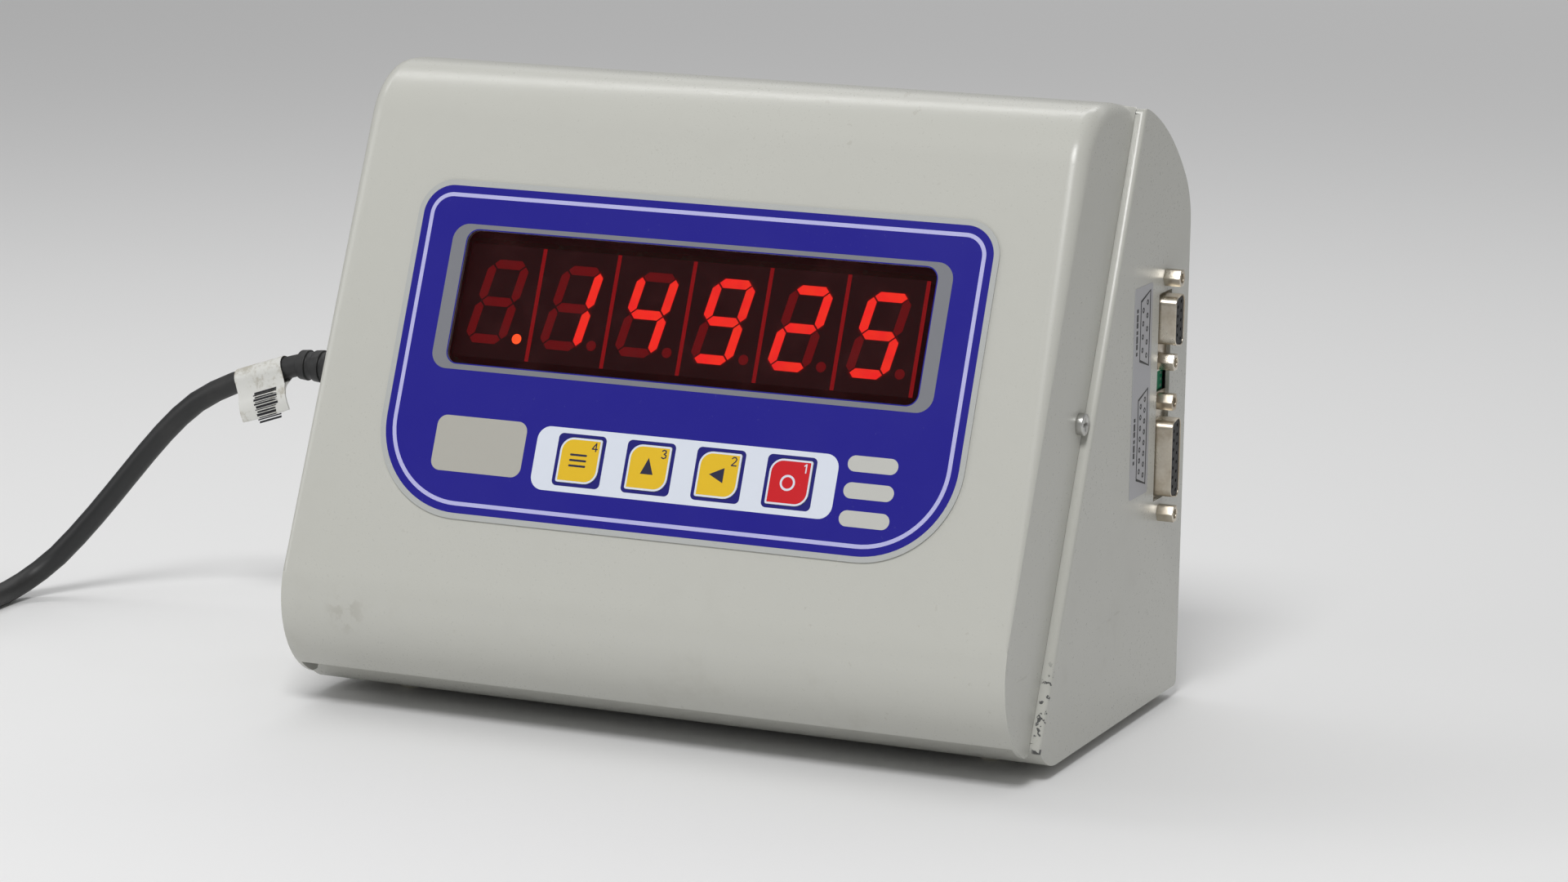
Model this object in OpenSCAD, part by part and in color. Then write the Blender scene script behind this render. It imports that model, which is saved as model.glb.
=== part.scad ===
// Desk-top weighing indicator with a sloping display face, four keys and a mains lead.
// Units are millimetres. +Z is up, the display faces -Y and the connectors are on the +X side.
// The origin is on the standing surface, under the middle of the case with its fittings.

/* [Case] */
// Width over the rear shell
case_w = 232; // [225:1:260]
// Height of the case above its underside
case_h = 182; // [180:1:190]
// Depth from the front curl to the back
case_d = 139; // [137:1:150]
// Thickness of the sheet metal
sheet_t = 1.2; // [1:0.1:1.4]
// Lean of the face from the vertical, in degrees
face_tilt = 22; // [21:0.5:23]
// Radius of the roll above the face
roll_r = 23; // [22:0.5:25]
// Radius of the crown behind the roll
crown_r = 77; // [74:1:80]
// Radius between the crown and the back
back_r = 24; // [20:1:28]
// Radius of the curl below the face
curl_r = 27; // [26:0.5:28]
// Height of the lowest point of the curl's circle
curl_rise = 3.5; // [2:0.5:4]
// Height of the curl's cut edge
curl_edge = 5.5; // [5:0.5:6.5]
// Radius of the lip at the front of the base
lip_r = 18; // [17:0.5:19]
// Distance from the front curl to the flat of the base
lip_set = 35; // [34:0.5:37]
// Radius between the base and the back
base_r = 2; // [2:0.5:4]
// Step inwards from the rear shell's side to each cheek
side_step = 3; // [2.4:0.1:3.6]
// Lean of the seam between cover and shell, in degrees
seam_tilt = 23.6; // [23:0.2:24.4]
// Distance from the front curl to the seam at the underside
seam_set = 17.5; // [17:0.5:19]
// Gap between the cover's edge and the shell's web
seam_gap = 0.3; // [0.2:0.1:0.5]
// Length of the shell's flange behind each cheek
flange_l = 12; // [11:0.5:15]

/* [Feet] */
// Height of a foot
foot_h = 3.3; // [2.5:0.1:4.5]
// Radius of the foot's ball
foot_r = 5; // [4.6:0.1:6]
// Spacing of the feet across the case
foot_span = 186; // [160:1:190]
// Distance from the lip's flat to the front feet
foot_front = 9; // [7:0.5:14]
// Distance from the back to the rear feet
foot_back = 14.5; // [12:0.5:20]

/* [Label and window] */
// Width of the printed label
label_w = 178.8; // [176:0.1:190]
// Height of the printed label
label_h = 96.7; // [95:0.1:99]
// Distance from the roll to the label's top edge
label_drop = 20; // [18:0.5:21]
// Shift of the label to the right
label_shift = 1.3; // [0:0.1:2]
// Thickness of the label
label_t = 0.5; // [0.4:0.05:0.6]
// Clear margin of the label film
film_margin = 1.7; // [1:0.1:2.5]
// Radius of the label's top corners
label_top_r = 9; // [6:0.5:12]
// Radius of the label's bottom corners
label_low_r = 27; // [20:1:30]
// Width of the filter window
window_w = 147.4; // [146:0.1:150]
// Height of the filter window
window_h = 39.8; // [38:0.1:42]
// Corner radius of the filter window
window_r = 3.5; // [2:0.1:5]
// Height of the window's middle above the label's middle
window_up = 15.5; // [14:0.1:17]

/* [Keys] */
// Spacing of the keys
key_pitch = 21.8; // [20:0.1:23]
// Width of a key pad
key_w = 12.8; // [11:0.1:14]
// Height of a key pad
key_h = 13.2; // [11:0.1:14]
// Thickness of a key pad
key_t = 0.4; // [0.3:0.05:0.5]
// Large corner radius of a key pad
key_r = 4; // [3:0.1:5]
// Distance from the label's middle down to the keys
key_down = 29.5; // [28:0.1:32]
// Shift of the key row to the right
key_shift = 6.9; // [0:0.1:10]
// Travel of a key
key_travel = 0.35; // [0.25:0.05:0.4]
// Radius of a switch plunger
plunger_r = 1.75; // [1.5:0.05:2]

/* [Display] */
// Width of one digit module
digit_w = 24; // [23:0.1:24.4]
// Height of one digit module
digit_h = 33.9; // [32:0.1:36]
// Thickness of one digit module
digit_t = 10.5; // [9:0.1:12]
// Shift of the module row from the window's middle
digit_shift = -2; // [-2:0.1:0]
// Thickness of the filter's rear plate
filter_t = 1.8; // [1.5:0.1:2.4]
// Gap between the filter and the modules
filter_back = 0.65; // [0.4:0.05:1]
// Thickness of the circuit boards
board_t = 1.6; // [1:0.1:2]
// Height of the display board
board_h = 76; // [75:0.5:78]

/* [Side connectors] */
// Distance from the back to the connector column
port_back = 21; // [19:0.5:26]
// Distance from the top of the case down to the nine-way connector's middle
port_drop = 67.5; // [64:0.5:72]
// Distance between the middles of the two connectors
port_span = 41; // [39.5:0.5:44]
// Spacing of the nine-way connector's screw locks
port_a_pitch = 24.99; // [24.99:0.01:25]
// Spacing of the fifteen-way connector's screw locks
port_b_pitch = 33.32; // [33.32:0.01:33.34]
// Width of the side slot
slot_w = 11.3; // [11:0.1:12]
// Height of a connector shell above its flange
shell_h = 5.9; // [5:0.1:6.1]
// Length of a screw lock's hexagon
lock_l = 5; // [4.6:0.1:6]
// Width across flats of a screw lock
lock_af = 4.76; // [4.5:0.01:5]
// Radius of a screw lock's threaded hole
lock_hole_r = 1.42; // [1.3:0.01:1.5]

/* [Mains side] */
// Distance from the back to the inlet's middle
inlet_back = 34; // [32:0.5:38]
// Height of the inlet's middle
inlet_z = 79; // [76:0.5:82]
// Length of the inlet's flange
inlet_w = 50; // [49:0.5:54]
// Height of the inlet's flange
inlet_h = 23; // [22.5:0.1:26]
// Thickness of the inlet's flange
inlet_t = 3; // [2.5:0.1:3.4]
// Depth of the inlet behind the panel
inlet_l = 25; // [22:0.5:28]
// Spacing of the inlet's screws
inlet_pitch = 40; // [40:0.5:42]
// Height of the switch's middle
rocker_z = 118; // [114:0.5:124]
// Width of the switch's bezel
rocker_w = 15; // [14.6:0.1:17]
// Height of the switch's bezel
rocker_h = 21; // [20.6:0.1:24]
// Swing of the switch each way from its middle, in degrees
rocker_turn = 7; // [5:0.5:7]

/* [Mains lead] */
// Diameter of the cord
cord_d = 7; // [6.5:0.1:7]
// Length of the connector's grip outside the inlet
grip_l = 25; // [22:0.5:30]
// Length of the connector's strain relief
relief_l = 20; // [18:0.5:22]
// Inner radius of the coil's path
coil_in_r = 26; // [26:0.5:30]
// Least gap between the coil's turns
coil_gap = 0.5; // [0.5:0.1:0.8]
// Length of the plug's body
plug_l = 36; // [32:1:42]
// Width of the plug's body
plug_w = 26; // [24:0.5:30]

/* [Electronics] */
// Distance from the side panel to the transformer's middle
core_side = 39.8; // [38:0.2:42]
// Distance from the transformer's middle to the main board
main_side = 55; // [54:1:60]
// Gap between the main board and the connector panel
main_gap = 16.8; // [15:0.2:24]
// Depth of the main board
main_d = 70; // [60:1:74]
// Height of the main board's pillars
pillar_h = 8; // [6:0.5:12]
// Width of the transformer's core
core_w = 48; // [44:1:52]
// Depth of the transformer's core stack
core_d = 24; // [20:1:28]
// Height of the transformer's core
core_h = 40; // [36:1:44]

/* [Hidden] */
$fn = 64;

// Number of digit modules
digit_count = 6;
// Number of turns in the coil
coil_turns = 6.25;

// Overrun of every cut
cut = 1;
// Gap round a piece that sits in an opening
fit = 0.15;
// Running gap round a plunger or a pivot
running_gap = 0.05;
// Gap between neighbouring faces that do not touch
face_gap = 0.3;

// Case profile, seen from the side with depth as the first coordinate and height as the second
front_y = -case_d / 2;
back_y = case_d / 2;
curl_mid = [front_y + curl_r, curl_r + curl_rise];
face_out = [-cos(face_tilt), sin(face_tilt)];
face_up = [sin(face_tilt), cos(face_tilt)];
face_reach = face_out * curl_mid + curl_r;
roll_z = case_h - roll_r;
roll_y = (sin(face_tilt) * roll_z - face_reach + roll_r) / cos(face_tilt);
roll_mid = [roll_y, roll_z];
crown_mid = [roll_y, case_h - crown_r];
crown_turn = acos((back_y - back_r - roll_y) / (crown_r - back_r));
back_mid = crown_mid + (crown_r - back_r) * [cos(crown_turn), sin(crown_turn)];
lip_mid = [front_y + lip_set, lip_r];
seam_foot = [front_y + seam_set, 0];
seam_out = [cos(seam_tilt), -sin(seam_tilt)];
seam_up = [sin(seam_tilt), cos(seam_tilt)];
side_x = case_w / 2;
cheek_x = side_x - side_step;
far = case_w;
flange_in = 5.5;
tongue_side = 13;
tongue_x = cheek_x - tongue_side;
tongue_l = 12;

// Label's place on the face
roll_end = roll_mid + roll_r * face_out;
label_mid = roll_end - (label_drop + label_h / 2) * face_up;

// Depths behind the sheet's outer face
filter_flange = sheet_t;
filter_end = filter_flange + filter_t;
digit_front = filter_end + filter_back;
board_front = digit_front + digit_t;
board_end = board_front + board_t;
filter_step = 4.8;
filter_proud = label_t - running_gap;
filter_w = window_w + 2 * filter_step;
filter_h = window_h + 2 * filter_step;
post_r = 2.6;
post_hole_r = 1.5;
post_x = filter_w / 2 + face_gap + post_r;
post_edge = 3.6;
board_w = 2 * (post_x + post_edge);
board_mid = -1.7;
post_u = board_h / 2 - post_edge;
nut_af = 5.5;
nut_h = 2.4;
stud_past = 0.8;
switch_w = 6;
switch_h = 3.5;
plunger_in = 0.8;
plunger_hole_r = 2.5;
key_small_r = 0.6;
pad_proud = 0.3;
pad_out = label_t + pad_proud;
pad_in = pad_out - key_t;

// Side connectors
port_y = back_y - port_back;
port_a_z = case_h - port_drop;
port_b_z = port_a_z - port_span;
port_edge = side_x - sheet_t;
port_flange_t = 1;
port_flange_w = 12.5;
port_ear = 2.9;
port_wall = 0.5;
port_round = 2.5;
port_d_h = 7.9;
port_a_w = 16.3;
port_b_w = 24.7;
port_slant = 10;
pin_pitch = 2.77;
pin_rows = 2.84;
pin_r = 0.55;
pin_depth = 5;
port_recess = 0.3;
port_depth = 10.7;
port_rear_w = 10.6;
port_board_x = port_edge - port_flange_t - port_depth;
port_board_w = 26;
port_board_over = 7;
lock_stud_r = 1.4;
lock_stud_l = 5.5;
sticker_w = 15.5;
sticker_h = 62;
sticker_t = 0.15;
sticker_gap = 6.3;
sticker_r = 1;

// Cover screws
screw_back = 3.8;
screw_up = 100.8;
screw_r = 2;
screw_head_r = 3.2;
screw_head_h = 2;
screw_l = 8;
cross_w = 0.8;
cross_l = 3.8;
cross_depth = 1;

// Mains side
inlet_y = back_y - inlet_back;
inlet_body_w = 26.8;
inlet_body_h = 19.4;
inlet_round = 3;
recess_w = 24.2;
recess_h = 16.4;
recess_cut = 4.2;
recess_depth = 19;
blade_w = 4;
blade_t = 2;
blade_l = 14;
blade_tail = 8;
blade_side = 7;
blade_rise = 4;
inlet_screw_r = 1.5;
inlet_head_r = 2.9;
inlet_screw_l = 9;
rocker_out = 2;
rocker_wall = 1;
rocker_depth = 16;
rocker_step = 1.1;
rocker_pivot = 3;
rocker_pin_r = 1.2;
button_half = 7.4;
button_rise = 5.8;
button_dip = 4.6;
button_sides = 2;
button_tail = 6;
button_tail_half = 3;
button_w = rocker_w - 2 * (rocker_step + rocker_wall + face_gap);
rocker_reach = button_rise * cos(rocker_turn) + button_half * sin(rocker_turn) - rocker_pivot;

// Mains lead, with places as height above the standing surface
grip_w = 29;
grip_h = 20.6;
grip_r = 5;
nose_fit = 0.3;
nose_end = 1.2;
relief_r = 5.8;
relief_tip_r = 4.6;
relief_ribs = 4;
rib_share = 0.6;
rib_dip_share = 0.86;
tip_x = -(side_x + inlet_t + face_gap + grip_l + relief_l);
lead_z = inlet_z + foot_h;
cord_r = cord_d / 2;
cord_sides = 10;
lead_steps = 2;
coil_sides = 6;
coil_steps = 24;
coil_mid = [-307, -25];
coil_pitch = cord_d + coil_gap;
coil_out_r = coil_in_r + coil_pitch * coil_turns / 2;
tie_t = 0.8;
tie_w = 9;
tie_gap = 0.4;
tie_slack = 0.1;
tie_r = 4;
coil_low = tie_t + tie_slack + cord_r;
coil_high = coil_low + coil_pitch;
cord_points = [
  [-172, 35.5, 80],
  [-188, 35.5, 74.5],
  [-202, 35, 67],
  [-214, 34.5, 56],
  [-226, 33.5, 42],
  [-238, 32, 27.5],
  [-250, 28, 13.5],
  [-258, 20, 5.5],
  [-259, 6, 3.5],
  [-258, -8, 4]
];
flag_step = cord_points[0] - cord_points[1];
flag_turn = atan2(flag_step.z, flag_step.x);
flag_l = 16;
flag_h = 16.5;
flag_t = 0.5;
flag_droop = 34;
plug_h = 2 * coil_high;
plug_r = 4;
tail_l = 24;
plug_relief_l = 14;
plug_relief_r = 5.6;
plug_blade_w = 6.3;
plug_blade_t = 1.5;
plug_blade_l = 16;
plug_blade_span = 12.7;
plug_pin_r = 2.4;
plug_pin_l = 19;
plug_pin_drop = 5;
plug_blade_rise = 4;

// Electronics on the base
core_x = -(side_x - sheet_t - core_side);
main_x = core_x + main_side;
main_w = side_x - sheet_t - main_gap - main_x;
main_y = -25;
main_z = sheet_t + pillar_h;
pillar_r = 3;
pillar_in = 5;
pillar_hole_r = 1.25;
pillar_head_r = 2.8;
pillar_head_h = 1.8;
can_r = 8;
can_h = 25;
can_places_shares = [[0.1, 0.3], [0.1, 0.66], [0.3, 0.78]];
sink_w = 24;
sink_d = 14;
sink_h = 30;
sink_web = 3;
sink_fin = 1.6;
sink_fins = 5;
sink_place_shares = [0.45, 0.6];
fuse_r = 2.6;
fuse_l = 20;
fuse_rise = 5;
clip_w = 6;
clip_t = 0.8;
fuse_place_shares = [0.2, 0.12];
ribbon_w = 25;
ribbon_t = 1;
ribbon_turn_r = 16;
header_w = 30;
header_h = 9;
header_d = 9;
header_up = -27;
header_x = 38;
core_y = 16;
winding_over = 7;
leg_share = 0.34;
window_share = 0.17;
clamp_t = 1.5;
clamp_ear = 10;
clamp_screw_r = 2;
clamp_head_r = 3.5;
clamp_head_h = 2.4;
clamp_w_share = 0.6;

// Height of a foot ball's middle above the underside
foot_rise = 1;

side_shift = (lock_l - max(rocker_reach, inlet_t)) / 2;

// Puts the case on the standing surface and centres it
module placed() translate([-side_shift, 0, foot_h]) children();

// Extrudes a side profile from one x to another
module slab_x(x0, x1) translate([x0, 0, 0]) rotate([90, 0, 90]) linear_extrude(x1 - x0) children();

// Puts a piece on the face at the label's middle, with +Z out of the face
module on_label() placed() translate([label_shift, label_mid.x, label_mid.y])
  rotate([90 - face_tilt, 0, 0]) children();

// Extrudes a face outline between two depths behind the sheet's outer face
module layer(d0, d1) translate([0, 0, -d1]) linear_extrude(d1 - d0) children();

// Gives local x as distance behind the seam and local y along it, in the side profile
module at_seam() translate(seam_foot) rotate(-seam_tilt) children();

function unit(v) = v / norm(v);
function corner_half(p, q, s) = acos(unit(p - q) * unit(s - q)) / 2;

// Outline with straight sides and round corners, for convex corner lists
module rounded(pts, rs) {
  n = len(pts);
  difference() {
    polygon(pts);
    for (i = [0 : n - 1])
      if (rs[i] > 0) corner_waste(pts[(i + n - 1) % n], pts[i], pts[(i + 1) % n], rs[i]);
  }
}

// What the rounding of corner q, between p and s, takes away
module corner_waste(p, q, s, r) {
  half = corner_half(p, q, s);
  inward = unit(unit(p - q) + unit(s - q));
  mid = q + inward * r / sin(half);
  difference() {
    polygon([q + unit(p - q) * r / tan(half), mid, q + unit(s - q) * r / tan(half), q - inward * cut]);
    translate(mid) circle(r);
  }
}

module rounded_box(w, h, r)
  rounded([[-w / 2, -h / 2], [w / 2, -h / 2], [w / 2, h / 2], [-w / 2, h / 2]], [r, r, r, r]);

// Extrudes several side profiles from one x to another and joins them
module slabs_x(x0, x1) for (i = [0 : $children - 1]) slab_x(x0, x1) children(i);

// Wedge of the crown behind the roll, drawn in by d
module crown_wedge(d) intersection() {
  crown_disc(d);
  translate(crown_mid) polygon([[0, 0], 2 * crown_r * [cos(crown_turn), sin(crown_turn)], [0, 2 * crown_r]]);
}

// Crown as a whole disc drawn in by d
module crown_disc(d) translate(crown_mid) circle(crown_r - d);

// Front half's body from the curl to the crown, drawn in by d
module front_body(x0, x1, d) slabs_x(x0, x1) {
  translate(roll_mid) circle(roll_r - d);
  crown_wedge(d);
  translate(curl_mid) circle(curl_r - d);
  polygon([
    curl_mid + (curl_r - d) * face_out,
    roll_mid + (roll_r - d) * face_out,
    roll_mid,
    roll_mid + [roll_r / 2, 0],
    crown_mid + [roll_r / 2, 0],
    curl_mid + [curl_r / 2, 0],
    curl_mid
  ]);
}

// Rear half's body from the crown to the lip, drawn in by d
module rear_body(x0, x1, d) slabs_x(x0, x1) {
  crown_wedge(d);
  translate(back_mid) circle(back_r - d);
  translate([back_y - base_r, base_r]) circle(base_r - min(d, base_r - fit));
  translate(lip_mid) circle(lip_r - d);
  polygon([
    [back_y - d, back_mid.y],
    [back_y - d, base_r],
    [back_y - base_r, d],
    [lip_mid.x, d],
    lip_mid - [lip_r - d, 0],
    roll_mid - [roll_r / 2, 0],
    back_mid
  ]);
}

// Side profile of the cover's reach, in front of the seam and above the curl's edge
module cover_reach() intersection() {
  at_seam() translate([-far, -far]) square([far - seam_gap, 2 * far]);
  translate([-far, curl_edge]) square([2 * far, far]);
}

module front_cover() color("gainsboro") difference() {
  placed() difference() {
    intersection() {
      front_body(-cheek_x, cheek_x, 0);
      slab_x(-cheek_x, cheek_x) cover_reach();
    }
    front_body(-cheek_x + sheet_t, cheek_x - sheet_t, sheet_t);
    for (side = [-1, 1]) at_cheek_screw(side) cylinder(screw_head_h + sheet_t + cut, r = screw_r + fit);
  }
  on_label() {
    layer(-cut, sheet_t + cut) translate([0, window_up])
      rounded_box(window_w + 2 * fit, window_h + 2 * fit, window_r + fit);
    for (i = [0 : 3]) at_key(i) layer(-cut, sheet_t + cut) circle(plunger_hole_r);
  }
}

// Frame of a cheek screw with +Z out of the cheek, starting at the shell's flange
module at_cheek_screw(side) {
  place = seam_foot - screw_back * seam_out + screw_up * seam_up;
  translate([side * (cheek_x - sheet_t - fit), place.x, place.y]) rotate([0, side * 90, 0]) children();
}

// Shell's flange plane behind each cheek
flange_x = cheek_x - sheet_t - fit;

module rear_shell() color("gainsboro") placed() difference() {
  union() {
    difference() {
      intersection() {
        rear_body(-side_x, side_x, 0);
        slab_x(-side_x, side_x) at_seam() translate([0, -far]) square([far, 2 * far]);
      }
      intersection() {
        rear_body(-side_x + sheet_t, side_x - sheet_t, sheet_t);
        slab_x(-side_x, side_x) at_seam() translate([sheet_t, -far]) square([far, 2 * far]);
      }
      rear_body(-flange_x + sheet_t, flange_x - sheet_t, sheet_t);
    }
    for (side = [-1, 1]) intersection() {
      rear_body(min(side * flange_x, side * (flange_x - sheet_t)), max(side * flange_x, side * (flange_x - sheet_t)), flange_in);
      slab_x(-side_x, side_x) intersection() {
        at_seam() translate([-flange_l, -far]) square([flange_l + sheet_t, 2 * far]);
        translate([-far, curl_edge]) square([2 * far, far]);
      }
    }
    slab_x(-tongue_x, tongue_x) intersection() {
      difference() {
        crown_disc(sheet_t + fit);
        crown_disc(2 * sheet_t + fit);
      }
      at_seam() translate([-tongue_l, case_h / 2]) square([2 * tongue_l, case_h]);
    }
    slab_x(-tongue_x, tongue_x) intersection() {
      difference() {
        crown_disc(sheet_t / 2);
        crown_disc(2 * sheet_t);
      }
      at_seam() translate([sheet_t / 2, case_h / 2]) square([tongue_l, case_h]);
    }
  }
  for (side = [-1, 1]) at_cheek_screw(side) translate([0, 0, -sheet_t - cut])
    cylinder(sheet_t + 2 * cut, r = screw_r + running_gap);
  slab_x(side_x - sheet_t - cut, side_x + cut) translate([port_y, 0]) {
    translate([-slot_w / 2, port_b_z - port_b_w / 2 - fit])
      square([slot_w, port_a_z - port_b_z + (port_a_w + port_b_w) / 2 + 2 * fit]);
    for (z = [port_a_z + port_a_pitch / 2, port_b_z - port_b_pitch / 2])
      translate([0, z]) circle(lock_stud_r + fit);
  }
  slab_x(-side_x - cut, -side_x + sheet_t + cut) {
    translate([inlet_y, inlet_z]) {
      rounded_box(inlet_body_w + 2 * fit, inlet_body_h + 2 * fit, inlet_round);
      for (side = [-1, 1]) translate([side * inlet_pitch / 2, 0]) circle(inlet_screw_r + fit);
    }
    translate([inlet_y, rocker_z])
      rounded_box(rocker_w - 2 * rocker_step + 2 * fit, rocker_h - 2 * rocker_step + 2 * fit, sheet_t);
  }
  for (hole = pillar_places()) translate([hole.x, hole.y, -cut])
    cylinder(sheet_t + 2 * cut, r = pillar_hole_r + fit);
  for (side = [-1, 1]) translate([core_x + side * clamp_hole_x, core_y, -cut])
    cylinder(sheet_t + 2 * cut, r = clamp_screw_r + fit);
}

module overlay_label() color("midnightblue") on_label() layer(-label_t, 0) difference() {
  film_outline(film_margin);
  translate([0, window_up]) rounded_box(window_w, window_h, window_r);
  for (i = [0 : 3]) at_key(i) pad_outline(fit);
}

// Label outline, grown by a margin
module film_outline(grow) {
  w = label_w / 2 + grow;
  h = label_h / 2 + grow;
  top = label_top_r + grow;
  low = label_low_r + grow;
  rounded([[-w, -h], [w, -h], [w, h], [-w, h]], [low, low, top, top]);
}

module at_key(i) translate([key_shift + (i - 1.5) * key_pitch, -key_down, 0]) children();

// Key pad outline with two large and two small corners
module pad_outline(grow) {
  w = key_w / 2 + grow;
  h = key_h / 2 + grow;
  rounded([[-w, -h], [w, -h], [w, h], [-w, h]], [key_small_r, key_r, key_small_r, key_r]);
}

module display_filter() color("darkred") on_label() translate([0, window_up, 0]) {
  layer(-filter_proud, filter_end) rounded_box(window_w - fit, window_h - fit, window_r);
  layer(filter_flange, filter_end) rounded_box(filter_w, filter_h, window_r);
}

module digit_module(i) color("firebrick") on_label()
  translate([digit_shift + (i - (digit_count - 1) / 2) * digit_w, window_up, 0])
    layer(digit_front, board_front) square([digit_w, digit_h], center = true);

module at_posts() for (x = [-post_x, post_x], y = [board_mid - post_u, board_mid + post_u])
  translate([x, y, 0]) children();

module display_board() color("darkgreen") on_label() layer(board_front, board_end) difference() {
  translate([0, board_mid]) square([board_w, board_h], center = true);
  at_posts() circle(post_hole_r + fit);
}

module display_standoffs() color("silver") on_label() at_posts() {
  layer(sheet_t, board_front) circle(post_r);
  layer(sheet_t, board_end + nut_h + stud_past) circle(post_hole_r);
}

module display_nuts() color("lightgray") on_label() at_posts() layer(board_end, board_end + nut_h)
  difference() {
    hexagon(nut_af);
    circle(post_hole_r + running_gap);
  }

module hexagon(af) circle(af / 2 / cos(30), $fn = 6);

module key_pad(i) color(i == 3 ? "crimson" : "gold") on_label() at_key(i)
  layer(-pad_out, -pad_in) pad_outline(0);

module switch_plunger(i) color("ivory") on_label() at_key(i)
  layer(-pad_in, board_front - switch_h + plunger_in) circle(plunger_r);

module tact_switch(i) color("dimgray") on_label() at_key(i) difference() {
  layer(board_front - switch_h, board_front) square([switch_w, switch_w], center = true);
  layer(board_front - switch_h - cut, board_front - switch_h + plunger_in + 2 * key_travel)
    circle(plunger_r + running_gap);
}

// Main board's pillar places on the base
function pillar_places() = [
  for (x = [pillar_in, main_w - pillar_in], y = [pillar_in, main_d - pillar_in]) [main_x + x, main_y + y]
];

// Puts a piece on top of the main board, at shares of its sides
module on_board(shares)
  placed() translate([main_x + shares.x * main_w, main_y + shares.y * main_d, main_z + board_t]) children();

module main_board() color("darkgreen") placed() difference() {
  translate([main_x, main_y, main_z]) cube([main_w, main_d, board_t]);
  for (hole = pillar_places()) translate([hole.x, hole.y, main_z - cut])
    cylinder(board_t + 2 * cut, r = pillar_hole_r + fit);
}

module board_pillars() color("silver") placed() for (hole = pillar_places())
  translate([hole.x, hole.y, sheet_t]) difference() {
    cylinder(pillar_h, r = pillar_r);
    translate([0, 0, -cut]) cylinder(pillar_h + 2 * cut, r = pillar_hole_r + running_gap);
  }

module board_screws() color("lightgray") placed() for (hole = pillar_places())
  translate([hole.x, hole.y, 0]) {
    translate([0, 0, main_z + board_t]) cylinder(pillar_head_h, r = pillar_head_r);
    cylinder(main_z + board_t + pillar_head_h / 2, r = pillar_hole_r);
  }

module capacitors() color("navy") for (place = can_places_shares) on_board(place) cylinder(can_h, r = can_r);

module regulator_sink() color("black") on_board(sink_place_shares) {
  translate([-sink_w / 2, -sink_web / 2, 0]) cube([sink_w, sink_web, sink_h]);
  for (i = [0 : sink_fins - 1])
    translate([-sink_w / 2 + i * (sink_w - sink_fin) / (sink_fins - 1), -sink_d / 2, 0])
      cube([sink_fin, sink_d, sink_h]);
}

module fuse() color("lightgray") on_board(fuse_place_shares)
  translate([-fuse_l / 2, 0, fuse_rise]) rotate([0, 90, 0]) cylinder(fuse_l, r = fuse_r);

module fuse_clips() color("silver") on_board(fuse_place_shares) for (side = [-1, 1])
  translate([side * (fuse_l - clip_w) / 2 - clip_w / 2, -fuse_r - clip_t, 0]) difference() {
    cube([clip_w, 2 * (fuse_r + clip_t), fuse_rise + fuse_r]);
    translate([-cut, fuse_r + clip_t, fuse_rise]) rotate([0, 90, 0])
      cylinder(clip_w + 2 * cut, r = fuse_r + running_gap);
    translate([-cut, clip_t, fuse_rise]) cube([clip_w + 2 * cut, 2 * fuse_r, fuse_r + cut]);
  }

// Ribbon's two ends in the side profile: out of the display board, then down to the main board
ribbon_out = label_mid + header_up * face_up - (board_end + header_h) * face_out;
ribbon_turn_mid = ribbon_out - ribbon_turn_r * face_up;
ribbon_y = ribbon_turn_mid.x + ribbon_turn_r;
ribbon_foot = main_z + board_t + header_h;

module ribbon_cable() color("slategray") placed() slab_x(header_x - ribbon_w / 2, header_x + ribbon_w / 2) {
  intersection() {
    difference() {
      translate(ribbon_turn_mid) circle(ribbon_turn_r + ribbon_t / 2);
      translate(ribbon_turn_mid) circle(ribbon_turn_r - ribbon_t / 2);
    }
    translate(ribbon_turn_mid) polygon([
      [0, 0],
      [2 * ribbon_turn_r, 0],
      2 * ribbon_turn_r * [1, 1],
      2 * ribbon_turn_r * face_up
    ]);
  }
  translate([ribbon_y - ribbon_t / 2, ribbon_foot]) square([ribbon_t, ribbon_turn_mid.y - ribbon_foot]);
}

module ribbon_headers() color("black") {
  on_label() translate([header_x - label_shift, header_up, 0]) layer(board_end, board_end + header_h)
    square([header_w, header_d], center = true);
  placed() translate([header_x - header_w / 2, ribbon_y - header_d / 2, main_z + board_t])
    cube([header_w, header_d, header_h]);
}

// Transformer
clamp_w = core_d * clamp_w_share;
clamp_hole_x = core_w / 2 + clamp_t + clamp_ear / 2;
window_core_w = core_w * window_share;
leg_w = core_w * leg_share;

module on_core() placed() translate([core_x, core_y, sheet_t]) children();

module transformer_core() color("dimgray") on_core() rotate([90, 0, 0]) linear_extrude(core_d, center = true)
  difference() {
    translate([-core_w / 2, 0]) square([core_w, core_h]);
    for (side = [-1, 1]) translate([side * (leg_w + window_core_w) / 2 - window_core_w / 2, window_core_w])
      square([window_core_w, core_h - 2 * window_core_w]);
  }

module transformer_winding() color("goldenrod") on_core() difference() {
  translate([-leg_w / 2 - window_core_w + fit, -core_d / 2 - winding_over, window_core_w + fit])
    cube([leg_w + 2 * window_core_w - 2 * fit, core_d + 2 * winding_over, core_h - 2 * window_core_w - 2 * fit]);
  translate([-leg_w / 2 - fit, -core_d / 2 - fit, 0]) cube([leg_w + 2 * fit, core_d + 2 * fit, core_h]);
}

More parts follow.
